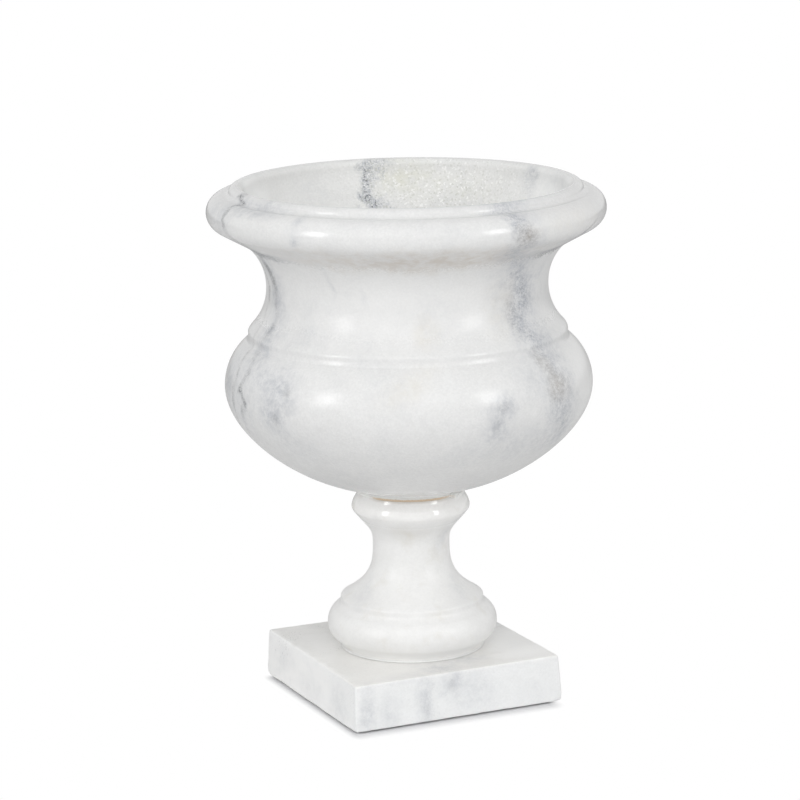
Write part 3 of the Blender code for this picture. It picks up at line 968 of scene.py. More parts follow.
# Patches on the bowl: angle, height, half width, half height, tilt, strength
BLUE_PATCHES = (
    (-52.0, 0.3955, 0.030, 0.0055, 0.0, 0.60),
    (-44.0, 0.2635, 0.020, 0.0150, -10.0, 0.62),
    (-46.0, 0.2410, 0.016, 0.0160, 0.0, 0.66),
    (-50.0, 0.2560, 0.026, 0.0240, 0.0, 0.34),
    (-53.0, 0.2690, 0.012, 0.0090, 0.0, 0.36),
    (-38.5, 0.2520, 0.008, 0.0090, 0.0, 0.34),
    (-40.0, 0.2200, 0.034, 0.0200, 0.0, 0.25),
    (30.0, 0.2520, 0.014, 0.0110, 20.0, 0.43),
    (27.4, 0.2380, 0.012, 0.0140, -10.0, 0.43),
    (28.5, 0.2450, 0.017, 0.0190, 0.0, 0.36),
    (-32.0, 0.3785, 0.005, 0.0060, 0.0, 0.55),
    (-32.5, 0.3925, 0.005, 0.0040, 0.0, 0.40),
    (-32.0, 0.3850, 0.010, 0.0120, 0.0, 0.20),
    # The next two rows lie along the crease under the lip's ends: painted shade
    (-58.0, 0.3575, 0.034, 0.0045, 0.0, 0.62),
    (52.0, 0.3590, 0.034, 0.0050, 0.0, 0.55),
    (-63.0, 0.3000, 0.009, 0.0075, 0.0, 0.52),
    (-60.0, 0.2870, 0.014, 0.0090, 0.0, 0.42),
    (-66.5, 0.3220, 0.014, 0.0120, 0.0, 0.45),
    (42.0, 0.2690, 0.022, 0.0220, 0.0, 0.26),
    (39.0, 0.2200, 0.034, 0.0200, 0.0, 0.30),
    # The next two rows lie under the lip's ends: painted shade
    (64.0, 0.3690, 0.050, 0.0060, 0.0, 0.45),
    (-80.0, 0.3715, 0.034, 0.0050, 0.0, 0.50),
    (-73.0, 0.3880, 0.014, 0.0100, 0.0, 0.42),
    # Along the belly's left edge: painted shade, partly blue vein
    (-77.0, 0.2520, 0.022, 0.0400, 0.0, 0.58),
    (-30.5, 0.3400, 0.003, 0.0150, 8.0, 0.24),
    (-17.0, 0.3310, 0.003, 0.0110, 8.0, 0.20),
    (108.0, 0.2620, 0.020, 0.0300, 20.0, 0.40),
    (-140.0, 0.2480, 0.026, 0.0200, -15.0, 0.45),
    (178.0, 0.3120, 0.020, 0.0220, 10.0, 0.35),
)
# Paler patches on the neck's front and the bowl's right side: painted light
BOWL_PAINTED_LIGHT_PATCHES = (
    (0.0, 0.3240, 0.150, 0.0340, 0.0, 0.50),
    (78.0, 0.2500, 0.034, 0.0500, 0.0, 0.95),
    (84.0, 0.3200, 0.040, 0.0400, 0.0, 0.40),
)
BEIGE_PATCHES = (
    (7.0, 0.3060, 0.014, 0.0130, 0.0, 0.45),
    (0.0, 0.2700, 0.026, 0.0120, 25.0, 0.40),
    (38.0, 0.3200, 0.018, 0.0280, 0.0, 0.30),
    (55.0, 0.3840, 0.040, 0.0120, 0.0, 0.24),
    (95.0, 0.2400, 0.030, 0.0160, 0.0, 0.45),
    (-160.0, 0.2820, 0.024, 0.0150, 10.0, 0.45),
)
RUST_PATCHES = (
    (35.5, 0.3790, 0.012, 0.0090, 0.0, 0.62),
    (53.0, 0.2590, 0.015, 0.0130, 0.0, 0.62),
    (50.5, 0.2760, 0.010, 0.0120, 0.0, 0.40),
    (44.0, 0.3220, 0.010, 0.0240, 0.0, 0.30),
)
DARK_PATCHES = (
    # The first six rows darken the crease and the underside at the lip's ends: painted shade. The others are dark
    # cores of veins
    (-64.0, 0.3572, 0.034, 0.0042, 0.0, 0.90),
    (-80.0, 0.3590, 0.024, 0.0050, 0.0, 0.85),
    (-90.0, 0.3665, 0.020, 0.0160, 0.0, 1.00),
    (62.0, 0.3576, 0.034, 0.0042, 0.0, 0.80),
    (80.0, 0.3590, 0.022, 0.0050, 0.0, 0.70),
    (90.0, 0.3665, 0.018, 0.0160, 0.0, 0.85),
    (-40.7, 0.2623, 0.005, 0.0060, 0.0, 0.25),
    (-45.0, 0.2395, 0.006, 0.0060, 0.0, 0.28),
    (29.1, 0.2500, 0.005, 0.0060, 0.0, 0.16),
    (27.4, 0.2390, 0.005, 0.0070, 0.0, 0.14),
    (-63.0, 0.3000, 0.004, 0.0040, 0.0, 0.40),
    (-68.4, 0.3430, 0.005, 0.0095, 0.0, 0.90),
    (-64.0, 0.2545, 0.004, 0.0040, 0.0, 0.50),
    (-60.7, 0.2455, 0.004, 0.0045, 0.0, 0.50),
)
# Warm brown under the lip: painted shade
LIP_PAINTED_SHADE_PATCHES = (
    (6.0, 0.3625, 0.130, 0.0120, 0.0, 0.85),
    (150.0, 0.3625, 0.140, 0.0100, 0.0, 0.45),
)
HOLLOW_BLUES = (
    (126.5, 0.3960, 0.010, 0.0060, 0.0, 0.60),
    (127.0, 0.3900, 0.014, 0.0140, 0.0, 0.45),
    (108.0, 0.3950, 0.036, 0.0100, 0.0, 0.24),
    (60.0, 0.3950, 0.030, 0.0080, 0.0, 0.30),
)
HOLLOW_GREENS = (
    (-178.0, 0.3890, 0.034, 0.0180, 0.0, 0.62),
    (160.0, 0.3800, 0.060, 0.0180, 0.0, 0.24),
    (40.0, 0.3700, 0.016, 0.0120, 0.0, 0.45),
)
# Paler patches where the inner wall's ends lie in shade: painted light
HOLLOW_PAINTED_LIGHT_PATCHES = (
    (112.0, 0.3880, 0.050, 0.0240, 0.0, 0.66),
    (-108.0, 0.3860, 0.026, 0.0220, 0.0, 0.62),
    (-99.0, 0.3960, 0.020, 0.0120, 0.0, 0.80),
    (94.0, 0.3960, 0.022, 0.0120, 0.0, 0.75),
)
# Where the bowl's inner wall is coarse and sugary
HOLLOW_SUGARS = (
    (166.0, 0.3700, 0.110, 0.0600, 0.0, 1.00),
    (-30.0, 0.3300, 0.160, 0.0500, 0.0, 0.80),
)


def stone_skin(bench, place, tint, sugar_depth):
    """Fine look of the stone: broad mottling, then crystals about a millimetre across."""
    broad = bench.cloud(place, 24.0, 4.0, 0.55)
    middle = bench.cloud(place, 105.0, 5.0, 0.6)
    sugar = bench.cloud(place, 640.0, 3.0, 0.65)
    sparkle = bench.crystals(place, 700.0)[0]
    fine = (sugar - 0.5) * 0.09 + (sparkle - 0.5) * 0.045
    level = 1 + (broad - 0.5) * 0.11 + (middle - 0.5) * 0.08 + fine * sugar_depth
    return bench.shaded(tint, level), broad, middle, sugar


def bowl_marble():
    made, bench, shader = new_finish("bowl_marble")
    place, around, radius, height, drift_x, drift_y = stone_grounds(bench)
    hollow = bench.add("ShaderNodeAttribute", {"attribute_name": "hollow"}, out="Fac")
    outside = 1 - hollow
    tint = bench.mix(hollow, BOWL_STONE, HOLLOW_STONE)
    stone, broad, middle, sugar = stone_skin(bench, place, tint, 1.15)
    level = height + drift_y * BOWL_STRAY
    sheet = (around * UNROLL + drift_x * BOWL_STRAY, level)
    rear_sheet = ((around + math.tau) % math.tau * UNROLL + drift_x * BOWL_STRAY, level)
    grain = bench.ease(bench.cloud(place, 170.0, 7.0, 0.8), 0.34, 0.66, 0.25, 1.2)
    specks = bench.ease(bench.cloud(place, 1000.0, 2.0, 0.6), 0.34, 0.62, 0.25, 1.15)
    broken = bench.ease(bench.cloud(place, 130.0, 5.0, 0.75), 0.40, 0.60, 0.30, 1.0)
    fleck = bench.ease(bench.cloud(place, 480.0, 4.0, 0.7), 0.50, 0.64)
    wiggle = bench.cloud(place, 300.0, 4.0, 0.7) - 0.5

    def course(rows, stray, core=0.0):
        drift = drift_x * stray + wiggle * 0.3 * stray
        return vein(bench, around, radius, height, drift, rows, core)

    def patch_here(angle, *sizes):
        if abs(angle) < REAR_TURN:
            return patch(bench, sheet, angle, *sizes)
        return patch(bench, rear_sheet, angle % 360, *sizes)

    def patches(rows):
        return heaped(patch_here(*row) for row in rows)

    band = joined(course(*row) for row in ((RIGHT_BAND, 0.034), (REAR_BAND, 0.04)))
    halo = joined(course(*row) for row in ((RIGHT_HALO, 0.045), (LEFT_HALO, 0.03)))
    # Fine dark lines: veins, and painted shade along the left edge and at the crease's right end
    fine_lines = ((LEFT_LINE, 0.014), (LEFT_EDGE, 0.014), (RIGHT_EDGE, 0.014), (REAR_LINE, 0.02))
    lines = joined(course(*row) for row in fine_lines)
    streak = course(HOLLOW_STREAK, 0.03) * hollow
    streak_halo = course(HOLLOW_HALO, 0.045, 0.25) * hollow
    coarse = patches(HOLLOW_SUGARS) * hollow
    pick, shade, _ = bench.crystals(place, 760.0)
    bright = bench.ease(pick, 0.80, 1.0) * (coarse * 0.75).most(streak_halo * 0.6)
    dull = bench.ease(shade, 0.74, 1.0) * (coarse * 0.36).most(streak_halo * 0.55)
    mottle = bench.ease(middle, 0.35, 0.65, 0.3, 1.0)
    haze = bench.ease(bench.cloud(place, 19.0, 6.0, 0.65), 0.46, 0.76, 0.0, 0.22)

    # Painted light: paler neck front and right side
    base = bench.mix(patches(BOWL_PAINTED_LIGHT_PATCHES) * outside, stone, BOWL_PAINTED_LIGHT_TINT)
    # Painted light on the shaded ends of the inner wall
    base = bench.mix(patches(HOLLOW_PAINTED_LIGHT_PATCHES) * hollow, base, HOLLOW_PAINTED_LIGHT_TINT)
    # The bowl's foot, in shade under the belly, is painted lighter
    foot = bench.ease(height, *BOWL_FOOT) * bench.ease(radius, 0.050, 0.044)
    base = bench.mix(foot, base, UNDERSIDE_PAINTED_LIGHT_TINT)
    base = bench.mix(patches(BEIGE_PATCHES) * mottle * outside, base, BEIGE_MOTTLE)
    base = bench.mix(patches(HOLLOW_GREENS) * mottle * hollow, base, GREEN_MOTTLE)
    # Painted shade under the lip, warm brown
    base = bench.mix(patches(LIP_PAINTED_SHADE_PATCHES) * mottle * outside, base, WARM_BROWN)
    halos = [haze, halo * outside, streak_halo * specks]
    # Blue clouds, some of them painted shade under the lip and along the left edge
    clouds = [patches(BLUE_PATCHES) * outside, patches(HOLLOW_BLUES) * hollow]
    soft_blue = heaped(halos + clouds) * grain * 0.85
    blue = heaped([soft_blue, band * outside * grain * specks * 0.95, streak * specks * 0.7])
    base = bench.mix(blue.least(1.0), base, BLUE_VEIN_AND_PAINTED_SHADE)
    rust = patches(RUST_PATCHES) * grain * (specks * 0.4 + 0.5) * outside
    base = bench.mix(rust.least(1.0), base, RUST)
    # Dark lines and spots: veins, and painted shade in the crease, under the lip's ends and along the edges
    spots = heaped([lines * broken, patches(DARK_PATCHES) * 0.95])
    dark = heaped([spots * outside * specks * 0.9, streak * fleck, band * band * outside * fleck * 0.35])
    base = bench.mix(dull, base, GREEN_SPECK)
    base = bench.mix(dark.least(1.0), base, DARK_VEIN_AND_PAINTED_SHADE)
    base = bench.mix(bright, base, CRYSTAL)

    neck = bench.ease(height, *NECK_FOOT) * bench.ease(height, *NECK_HEAD)
    polish = 0.24 + neck * 0.06 - bench.ease(height, *LIP_FOOT) * 0.1
    polish = polish + (broad - 0.5) * 0.05 + (sugar - 0.5) * 0.09
    ripple = bench.cloud(place, 340.0, 3.0, 0.6)
    rough = polish * outside + hollow * 0.55
    relief = sugar * (0.06 + coarse * 1.6) + middle * 0.25 + ripple * outside * 1.6
    bump = bench.bump(0.14, 0.0006, relief)
    bench.plug(shader, {"Base Color": base, "Roughness": rough, "Normal": bump, "Specular IOR Level": STONE_SHEEN})
    return made


# Patches on the pedestal, in the same measures
PEDESTAL_PATCHES = (
    (52.0, 0.1280, 0.040, 0.012, 15.0, 0.28),
    (-58.0, 0.0860, 0.050, 0.010, -10.0, 0.20),
    (60.0, 0.0880, 0.050, 0.012, 10.0, 0.24),
    (170.0, 0.0980, 0.050, 0.020, 20.0, 0.32),
    (-120.0, 0.0600, 0.060, 0.012, 0.0, 0.30),
)
# Warm patches: the first darkens and warms the flare under the cap, painted shade; the others are warm mottles
PEDESTAL_WARMS = (
    (-2.0, 0.1325, 0.060, 0.0085, 0.0, 0.55),
    (22.0, 0.0740, 0.030, 0.0040, 0.0, 0.30),
    (-28.0, 0.0735, 0.022, 0.0040, 0.0, 0.28),
)


def pedestal_marble():
    made, bench, shader = new_finish("pedestal_marble")
    place, around, _, height, drift_x, drift_y = stone_grounds(bench)
    # The cap, in the bowl's shadow, is painted lighter
    tint = bench.mix(bench.ease(height + drift_x * 0.02, *CAP_PAINTED_LIGHT_HEIGHTS), PEDESTAL_STONE, CAP_PAINTED_LIGHT_TINT)
    stone, broad, middle, sugar = stone_skin(bench, place, tint, 0.7)
    sheet = (around * UNROLL + drift_x * PEDESTAL_STRAY[0], height + drift_y * PEDESTAL_STRAY[1])
    clouds = heaped(patch(bench, sheet, *row) for row in PEDESTAL_PATCHES)
    clouds = clouds * bench.ease(bench.cloud(place, 230.0, 6.0, 0.75), 0.30, 0.70, 0.3, 1.0)
    warm = bench.ease(bench.cloud(place, 60.0, 4.0, 0.6), 0.54, 0.74) * 0.22
    # Warm patches, one of them painted shade under the cap
    warms = heaped(patch(bench, sheet, *row) for row in PEDESTAL_WARMS)
    warms = warms * bench.ease(middle, 0.35, 0.62, 0.4, 1.0)
    # The roll's underside, which faces down into shade, is painted lighter
    base = bench.mix(bench.ease(height, *ROLL_UNDERSIDE) * 0.9, stone, UNDERSIDE_PAINTED_LIGHT_TINT)
    base = bench.mix(bench.ease(height, *HEEL) * 0.25, base, PLINTH_TOP_STONE)
    base = bench.mix(warm.most(warms), base, BEIGE_MOTTLE)
    # Browner towards the joint at the front of the cap's rim
    brown_band = bench.ease(height, *CAP_BROWN_BAND) * bench.ease(abs(around), 0.95, 0.6)
    base = bench.mix(brown_band * 0.45, base, WARM_BROWN)
    base = bench.mix(clouds, base, BLUE_VEIN_AND_PAINTED_SHADE)
    polish = 0.32 - bench.ease(height, *CAP_POLISH) * 0.22
    rough = polish + (broad - 0.5) * 0.05 + (sugar - 0.5) * 0.05
    bump = bench.bump(0.1, 0.0005, sugar * 0.08 + middle * 0.25)
    bench.plug(shader, {"Base Color": base, "Roughness": rough, "Normal": bump, "Specular IOR Level": STONE_SHEEN})
    return made


def spot_on(bench, place, centre, half, strength):
    """Soft cloud about a point of the slab, sizes in metres."""
    sockets = {"Vector": place, "Location": centre, "Scale": half}
    shifted = bench.add("ShaderNodeMapping", {"vector_type": "TEXTURE"}, sockets)
    return bench.ease(bench.vector("LENGTH", shifted, out="Value"), 0.1, 1.25, strength, 0.0)


# Clouds in the plinth: centre, half sizes, strength
PLINTH_CLOUDS = (
    ((-0.030, -0.087, 0.016), (0.009, 0.03, 0.030), 0.40),
    ((-0.006, -0.087, 0.028), (0.014, 0.03, 0.014), 0.42),
    ((0.010, -0.087, 0.020), (0.026, 0.03, 0.020), 0.26),
    ((-0.010, -0.072, 0.038), (0.020, 0.016, 0.01), 0.42),
    ((0.018, -0.060, 0.038), (0.020, 0.014, 0.01), 0.36),
    ((-0.004, -0.060, 0.038), (0.030, 0.012, 0.01), 0.26),
    ((-0.040, -0.080, 0.038), (0.030, 0.014, 0.006), 0.14),
    ((-0.078, -0.087, 0.016), (0.008, 0.03, 0.022), 0.40),
    ((-0.060, -0.087, 0.012), (0.012, 0.03, 0.020), 0.26),
    ((0.058, -0.087, 0.012), (0.020, 0.03, 0.012), 0.08),
    ((-0.087, -0.055, 0.016), (0.02, 0.020, 0.020), 0.24),
    ((-0.087, 0.000, 0.012), (0.02, 0.030, 0.014), 0.18),
    ((-0.087, 0.050, 0.024), (0.02, 0.030, 0.012), 0.18),
    ((0.087, 0.010, 0.016), (0.03, 0.02, 0.03), 0.45),
    ((0.030, 0.087, 0.020), (0.03, 0.03, 0.012), 0.45),
    ((-0.050, 0.087, 0.012), (0.012, 0.03, 0.03), 0.35),
)
# Pale clouds on the plinth's left face and top: painted light
PLINTH_PAINTED_LIGHT_CLOUDS = (
    ((-0.088, 0.030, 0.018), (0.006, 0.13, 0.06), 1.00),
    ((-0.066, 0.030, 0.038), (0.030, 0.070, 0.005), 0.45),
    ((0.068, 0.010, 0.038), (0.044, 0.100, 0.006), 1.00),
    ((0.066, -0.060, 0.038), (0.030, 0.030, 0.006), 0.60),
)
PLINTH_SPOTS = (
    ((-0.0075, -0.087, 0.0275), (0.0040, 0.01, 0.0080), 0.15),
    ((-0.0285, -0.087, 0.010), (0.0030, 0.01, 0.0070), 0.12),
)


def plinth_marble():
    made, bench, shader = new_finish("plinth_marble")
    place, _, radius, height, drift_x, drift_y = stone_grounds(bench)
    tint = bench.mix(bench.ease(height, *PLINTH_TOP), PLINTH_STONE, PLINTH_TOP_STONE)
    stone, broad, middle, sugar = stone_skin(bench, place, tint, 0.9)
    stray = bench.vector("MULTIPLY", bench.combine(drift_x, drift_y, drift_x), PLINTH_STRAY)
    strayed = bench.vector("ADD", place, stray)
    clouds = joined(spot_on(bench, strayed, *row) for row in PLINTH_CLOUDS)
    clouds = clouds * bench.ease(bench.cloud(place, 150.0, 6.0, 0.7), 0.30, 0.68, 0.3, 1.1)
    spots = joined(spot_on(bench, place, *row) for row in PLINTH_SPOTS)
    # Paler left face and top: painted light
    pales = heaped(spot_on(bench, strayed, *row) for row in PLINTH_PAINTED_LIGHT_CLOUDS)
    # A paler ring round the pedestal's foot, where shade gathers: painted light
    ring = bench.ease(radius, 0.086, 0.064) * bench.ease(height, *PLINTH_RING) * 0.12
    base = bench.mix(pales.most(ring), stone, PLINTH_PAINTED_LIGHT_TINT)
    base = bench.mix(clouds.least(1.0), base, BLUE_VEIN_AND_PAINTED_SHADE)
    base = bench.mix(spots * bench.ease(middle, 0.35, 0.65, 0.4, 1.0), base, DARK_VEIN_AND_PAINTED_SHADE)
    sawn = bench.ease(height, *PLINTH_SAWN)
    rough = 0.3 + (broad - 0.5) * 0.1 + (sugar - 0.5) * 0.12 + sawn * 0.4
    bump = bench.bump(0.14, 0.0006, sugar * 0.25 + middle * 0.4)
    bench.plug(shader, {"Base Color": base, "Roughness": rough, "Normal": bump, "Specular IOR Level": STONE_SHEEN})
    return made


def bed_finish(name, body, pale, low, line_height, line_turn, rough):
    """Set adhesive with grit in it: a coloured line along the front, paler above it and at the sides. On the tan bed
    the paler part above the line is partly painted light on the shade under the bowl's foot.
    """
    made, bench, shader = new_finish(name)
    place, around, _, height, drift_x, _ = stone_grounds(bench)
    grit = bench.cloud(place, 900.0, 4.0, 0.7)
    smear = bench.cloud(place, 240.0, 4.0, 0.6)
    base = bench.shaded(body, 0.75 + grit * 0.5)
    aside = bench.ease(abs(around + drift_x * 0.5), line_turn, line_turn + 0.25)
    smeared = height - low + (smear - 0.5) * 0.0012
    above = bench.ease(smeared, 0.7 * line_height, 1.2 * line_height)
    base = bench.mix(aside.most(above), base, pale)
    bump = bench.bump(0.25, 0.0004, grit + smear)
    bench.plug(shader, {"Base Color": base, "Roughness": rough + (grit - 0.5) * 0.2, "Normal": bump})
    return made


def felt_finish():
    made, bench, shader = new_finish("pad_felt")
    place = bench.place()
    fibre = bench.cloud(place, 1400.0, 4.0, 0.7, distortion=2.0)
    lint = bench.cloud(place, 300.0, 3.0, 0.6)
    base = bench.shaded(FELT, 0.6 + fibre * 0.6 + (lint - 0.5) * 0.3)
    bump = bench.bump(0.8, 0.0005, fibre)
    bench.plug(shader, {"Base Color": base, "Roughness": 0.95, "Normal": bump})
    return made


def steel_finish(name, body, brushing):
    """Zinc-plated steel with fine brushing and dull patches."""
    made, bench, shader = new_finish(name)
    place = bench.place()
    stretched = bench.add("ShaderNodeMapping", None, {"Vector": place, "Scale": brushing})
    brush = bench.cloud(stretched, 500.0, 4.0, 0.6)
    dull = bench.cloud(place, 220.0, 4.0, 0.6)
    base = bench.shaded(body, 0.8 + brush * 0.25 + (dull - 0.5) * 0.3)
    rough = 0.28 + (brush - 0.5) * 0.15 + bench.ease(dull, 0.5, 0.75) * 0.25
    bump = bench.bump(0.15, 0.0002, brush)
    bench.plug(shader, {"Base Color": base, "Roughness": rough, "Normal": bump, "Metallic": 1.0})
    return made


def resin_finish():
    made, bench, shader = new_finish("anchor_resin")
    place = bench.place()
    swirl = bench.cloud(place, 160.0, 4.0, 0.6, distortion=1.5)
    bubbles = bench.add("ShaderNodeTexVoronoi", {"feature": "F1"}, {"Vector": place, "Scale": 500.0})
    base = bench.mix(bench.ease(swirl, 0.35, 0.65), DARK_RESIN, LIGHT_RESIN)
    bump = bench.bump(0.3, 0.0004, bubbles)
    bench.plug(shader, {"Base Color": base, "Roughness": 0.35 + swirl * 0.2, "Normal": bump})
    return made


# Pieces


def make_bowl(finish):
    outside = bowl_outside()
    hollow = eased(bowl_hollow(outside[0]), CORNER_EASE)
    shell = eased(outside, CORNER_EASE)
    socket = [(SOCKET_RADIUS, 0.0), (SOCKET_RADIUS, SOCKET_DEPTH), (0.0, SOCKET_DEPTH)]
    outline = chain(hollow, shell, socket)
    rows = len(hollow) + BRIM_ROWS
    piece = turned("marble_bowl", "bowl", outline, finish, BOWL_COLUMNS, TURNING_WAVER, seed=3.1, hollow_rows=rows)
    fitted(piece, "bowl")


def make_pedestal(finish):
    outline = eased(pedestal_outline(), CORNER_EASE)
    piece = turned("marble_pedestal", "pedestal", outline, finish, PEDESTAL_COLUMNS, TURNING_WAVER, seed=7.4)
    fitted(piece, "pedestal")


# How far each corner of the plinth strays from square: front left, front right, rear right, rear left
TOP_STRAY = ((-0.0018, -0.0004), (-0.0008, 0.0022), (-0.0014, -0.0020), (0.0, 0.0006))
FOOT_STRAY = ((-0.0016, -0.0006), (0.0004, 0.0006), (-0.0006, -0.0008), (-0.0014, 0.0))


def worn_corners(piece, low, rise):
    """Moves the plinth's corners out of square, and wears them at foot and top."""
    for vertex in piece.data.vertices:
        x, y, z = vertex.co
        right = (x / PLINTH_HALF + 1) / 2
        rear = (y / PLINTH_HALF + 1) / 2
        up = (z - low) / rise
        shares = ((1 - right) * (1 - rear), right * (1 - rear), right * rear, (1 - right) * rear)
        for axis in (0, 1):
            top = sum(share * stray[axis] for share, stray in zip(shares, TOP_STRAY))
            foot = sum(share * stray[axis] for share, stray in zip(shares, FOOT_STRAY))
            vertex.co[axis] += foot + (top - foot) * up
        nearness = max(0.0, (abs(x) + abs(y)) / PLINTH_HALF - CORNER_START) / CORNER_SPAN
        chipped = CORNER_WEAR * min(1.0, nearness) * max(0.0, 1 - up / FOOT_CHIP) ** 2
        vertex.co.x -= math.copysign(chipped, x)
        vertex.co.y -= math.copysign(chipped, y)
        vertex.co.z -= TOP_CORNER_WEAR * min(1.0, nearness) ** 2 * max(0.0, up - (1 - TOP_CHIP)) / TOP_CHIP


# Ends of the drill, past the plinth's faces
DRILL_TOP = 0.06
DRILL_FOOT = -0.01


def make_plinth(finish):
    low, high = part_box("plinth")
    values = {
        "Half Size": Vector((PLINTH_HALF, PLINTH_HALF, (high.z - low.z) / 2)),
        "Arris": PLINTH_ARRIS,
        "Wear": PLINTH_WEAR,
        "Taper": PLINTH_TAPER / PLINTH_HALF,
        "Centre Height": (low.z + high.z) / 2,
        "Seed": 4.2,
        "Finish": finish,
    }
    piece = nodes_made("marble_plinth", SLAB, bpy.data.meshes.new("plinth_seed"), values)
    worn_corners(piece, low.z, high.z - low.z)
    hole = [(0.0, DRILL_TOP), (ROD_HOLE_RADIUS, DRILL_TOP), (ROD_HOLE_RADIUS, RECESS_DEPTH)]
    recess = [(RECESS_RADIUS, RECESS_DEPTH), (RECESS_RADIUS, DRILL_FOOT), (0.0, DRILL_FOOT)]
    drill = turned("drill", "plinth", hole + recess, finish)
    faced(piece)
    boring = piece.modifiers.new("boring", "BOOLEAN")
    boring.operation = "DIFFERENCE"
    boring.solver = "EXACT"
    boring.object = drill
    bored = settled(piece, boring)
    bpy.data.objects.remove(drill)
    bored.shade_smooth()
    bored.set_sharp_from_angle(angle=math.radians(BORED_CORNER))
    fitted(piece, "plinth")


# Share of its reach within which a bed stays as it is, and how steeply the squeeze sets in from there
BED_STILL = 0.6
SQUEEZE_POWER = 6
# Waves of the squeezed edge: count on a radius, count to a metre of height
BROAD_WAVES = (6, 300)
FINE_WAVES = (30, 900)
FINE_SHARE = 0.8


def squeezed(piece, reach, swell, ripple, seed):
    """Pushes a bed's outer edge in and out, as adhesive squeezed from a joint."""
    for vertex in piece.data.vertices:
        x, y, z = vertex.co
        radius = math.hypot(x, y)
        if radius < BED_STILL * reach:
            continue
        side = (x * RIGHT[0] + y * RIGHT[1]) / radius
        near = (x * FRONT[0] + y * FRONT[1]) / radius
        broad = Vector((side * BROAD_WAVES[0] + seed, near * BROAD_WAVES[0], z * BROAD_WAVES[1]))
        fine = Vector((side * FINE_WAVES[0], near * FINE_WAVES[0] + seed, z * FINE_WAVES[1]))
        amount = swell + ripple * noise.noise(broad)
        amount += FINE_SHARE * ripple * noise.noise(fine)
        scale = (radius + amount * (radius / reach) ** SQUEEZE_POWER) / radius
        vertex.co.x *= scale
        vertex.co.y *= scale


def bed_outline(reach, height, bulge, flare, lap_top, lap_foot):
    """Bed whose squeezed edge bulges and laps the stones, or flares to its foot."""
    edge = []
    for step in range(9):
        t = step / 8
        out = reach + bulge * math.sin(math.pi * t) + flare * t * t
        edge.append((out, height + lap_top - t * (height + lap_top + lap_foot)))
    land = 0.98 * reach
    top = chain(line((BED_BORE, height), (land, height), 10), [edge[0]])
    bottom = chain([edge[-1]], line((land, 0.0), (BED_BORE, 0.0), 10))
    return chain(top, edge, bottom, line((BED_BORE, 0.0), (BED_BORE, height), 3))


# Lumps of squeezed adhesive at the joint's right side: angle, distance from the axis, height, half sizes
GLUE_LUMPS = (
    (52.0, 0.0432, 0.1624, (0.0042, 0.0028, 0.0024)),
    (58.0, 0.0438, 0.1629, (0.0040, 0.0026, 0.0022)),
    (63.0, 0.0434, 0.1633, (0.0032, 0.0024, 0.0018)),
)
# Knobs on the lumps: depth, noise to a half size, and shift of the noise from lump to lump
KNOBS = ((0.22, 1.7, 900), (0.06, 6.0, 700))


def make_lumps(finish):
    """Lumps in one piece: rounded, and pitted where the adhesive set."""
    made = bmesh.new()
    for angle, reach, height, half in GLUE_LUMPS:
        turn = math.radians(angle)
        out = Vector((*heading(turn), 0.0))
        along = Vector((-out.y, out.x, 0.0))
        centre = out * reach + Vector((0.0, 0.0, height))
        for vertex in bmesh.ops.create_icosphere(made, subdivisions=4, radius=1.0)["verts"]:
            knob = vertex.co.copy()
            for depth, scale, shift in KNOBS:
                knob *= 1 + depth * noise.noise(vertex.co * scale + centre * shift)
            vertex.co = centre + along * knob.x * half[0] + out * knob.y * half[1]
            vertex.co.z += knob.z * half[2]
    bmesh.ops.recalc_face_normals(made, faces=made.faces)
    mesh = bpy.data.meshes.new("glue_lumps")
    made.to_mesh(mesh)
    made.free()
    mesh.materials.append(finish)
    mesh.shade_smooth()
    piece = put("glue_lumps", mesh)
    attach(piece, "root")


def make_bed(name, node, finish, inset, edge, squeeze):
    """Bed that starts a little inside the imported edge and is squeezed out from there."""
    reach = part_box(node)[1].x - inset
    bed = turned(name, node, bed_outline(reach, rise_of(node), *edge), finish, BED_COLUMNS)
    squeezed(bed, reach, *squeeze)
    fitted(bed, node)


# Bulge, flare and laps of each bed's edge, then its swell, ripple and seed
TAN_EDGE = (0.0005, 0.0, 0.0004, 0.0004)
TAN_SQUEEZE = (0.0039, 0.0002, 2.0)
PALE_EDGE = (0.0, 0.0006, 0.0009, 0.0)
PALE_SQUEEZE = (0.0020, 0.0003, 5.0)


def make_beds():
    looks = {"line_height": 0.0014, "line_turn": 0.62, "rough": 0.6}
    # Above the tan line the chalky colour is partly painted light on the shade under the bowl's foot
    tan = bed_finish("tan_adhesive", TAN_GLUE, CHALKY_GLUE_AND_PAINTED_LIGHT, base_of("bowl_bed"), **looks)
    make_bed("tan_bed", "bowl_bed", tan, 0.0006, TAN_EDGE, TAN_SQUEEZE)
    make_lumps(tan)
    looks = {"line_height": 0.0006, "line_turn": 0.5, "rough": 0.65}
    pale = bed_finish("pale_adhesive", PALE_GLUE, DULL_GLUE, base_of("pedestal_bed"), **looks)
    make_bed("pale_bed", "pedestal_bed", pale, 0.0004, PALE_EDGE, PALE_SQUEEZE)


def make_rod():
    values = {
        "Columns": ROD_COLUMNS,
        "Rows": ROD_ROWS,
        "Radius": ROD_RADIUS,
        "Depth": THREAD_DEPTH,
        "Pitch": THREAD_PITCH,
        "Bottom": base_of("tie_rod"),
        "Length": rise_of("tie_rod"),
        "Finish": steel_finish("rod_steel", colour(0.56, 0.56, 0.57), (1.0, 1.0, 6.0)),
    }
    rod = nodes_made("threaded_rod", THREAD, bpy.data.meshes.new("rod_seed"), values)
    fitted(faced(rod, THREAD_CORNER), "tie_rod")


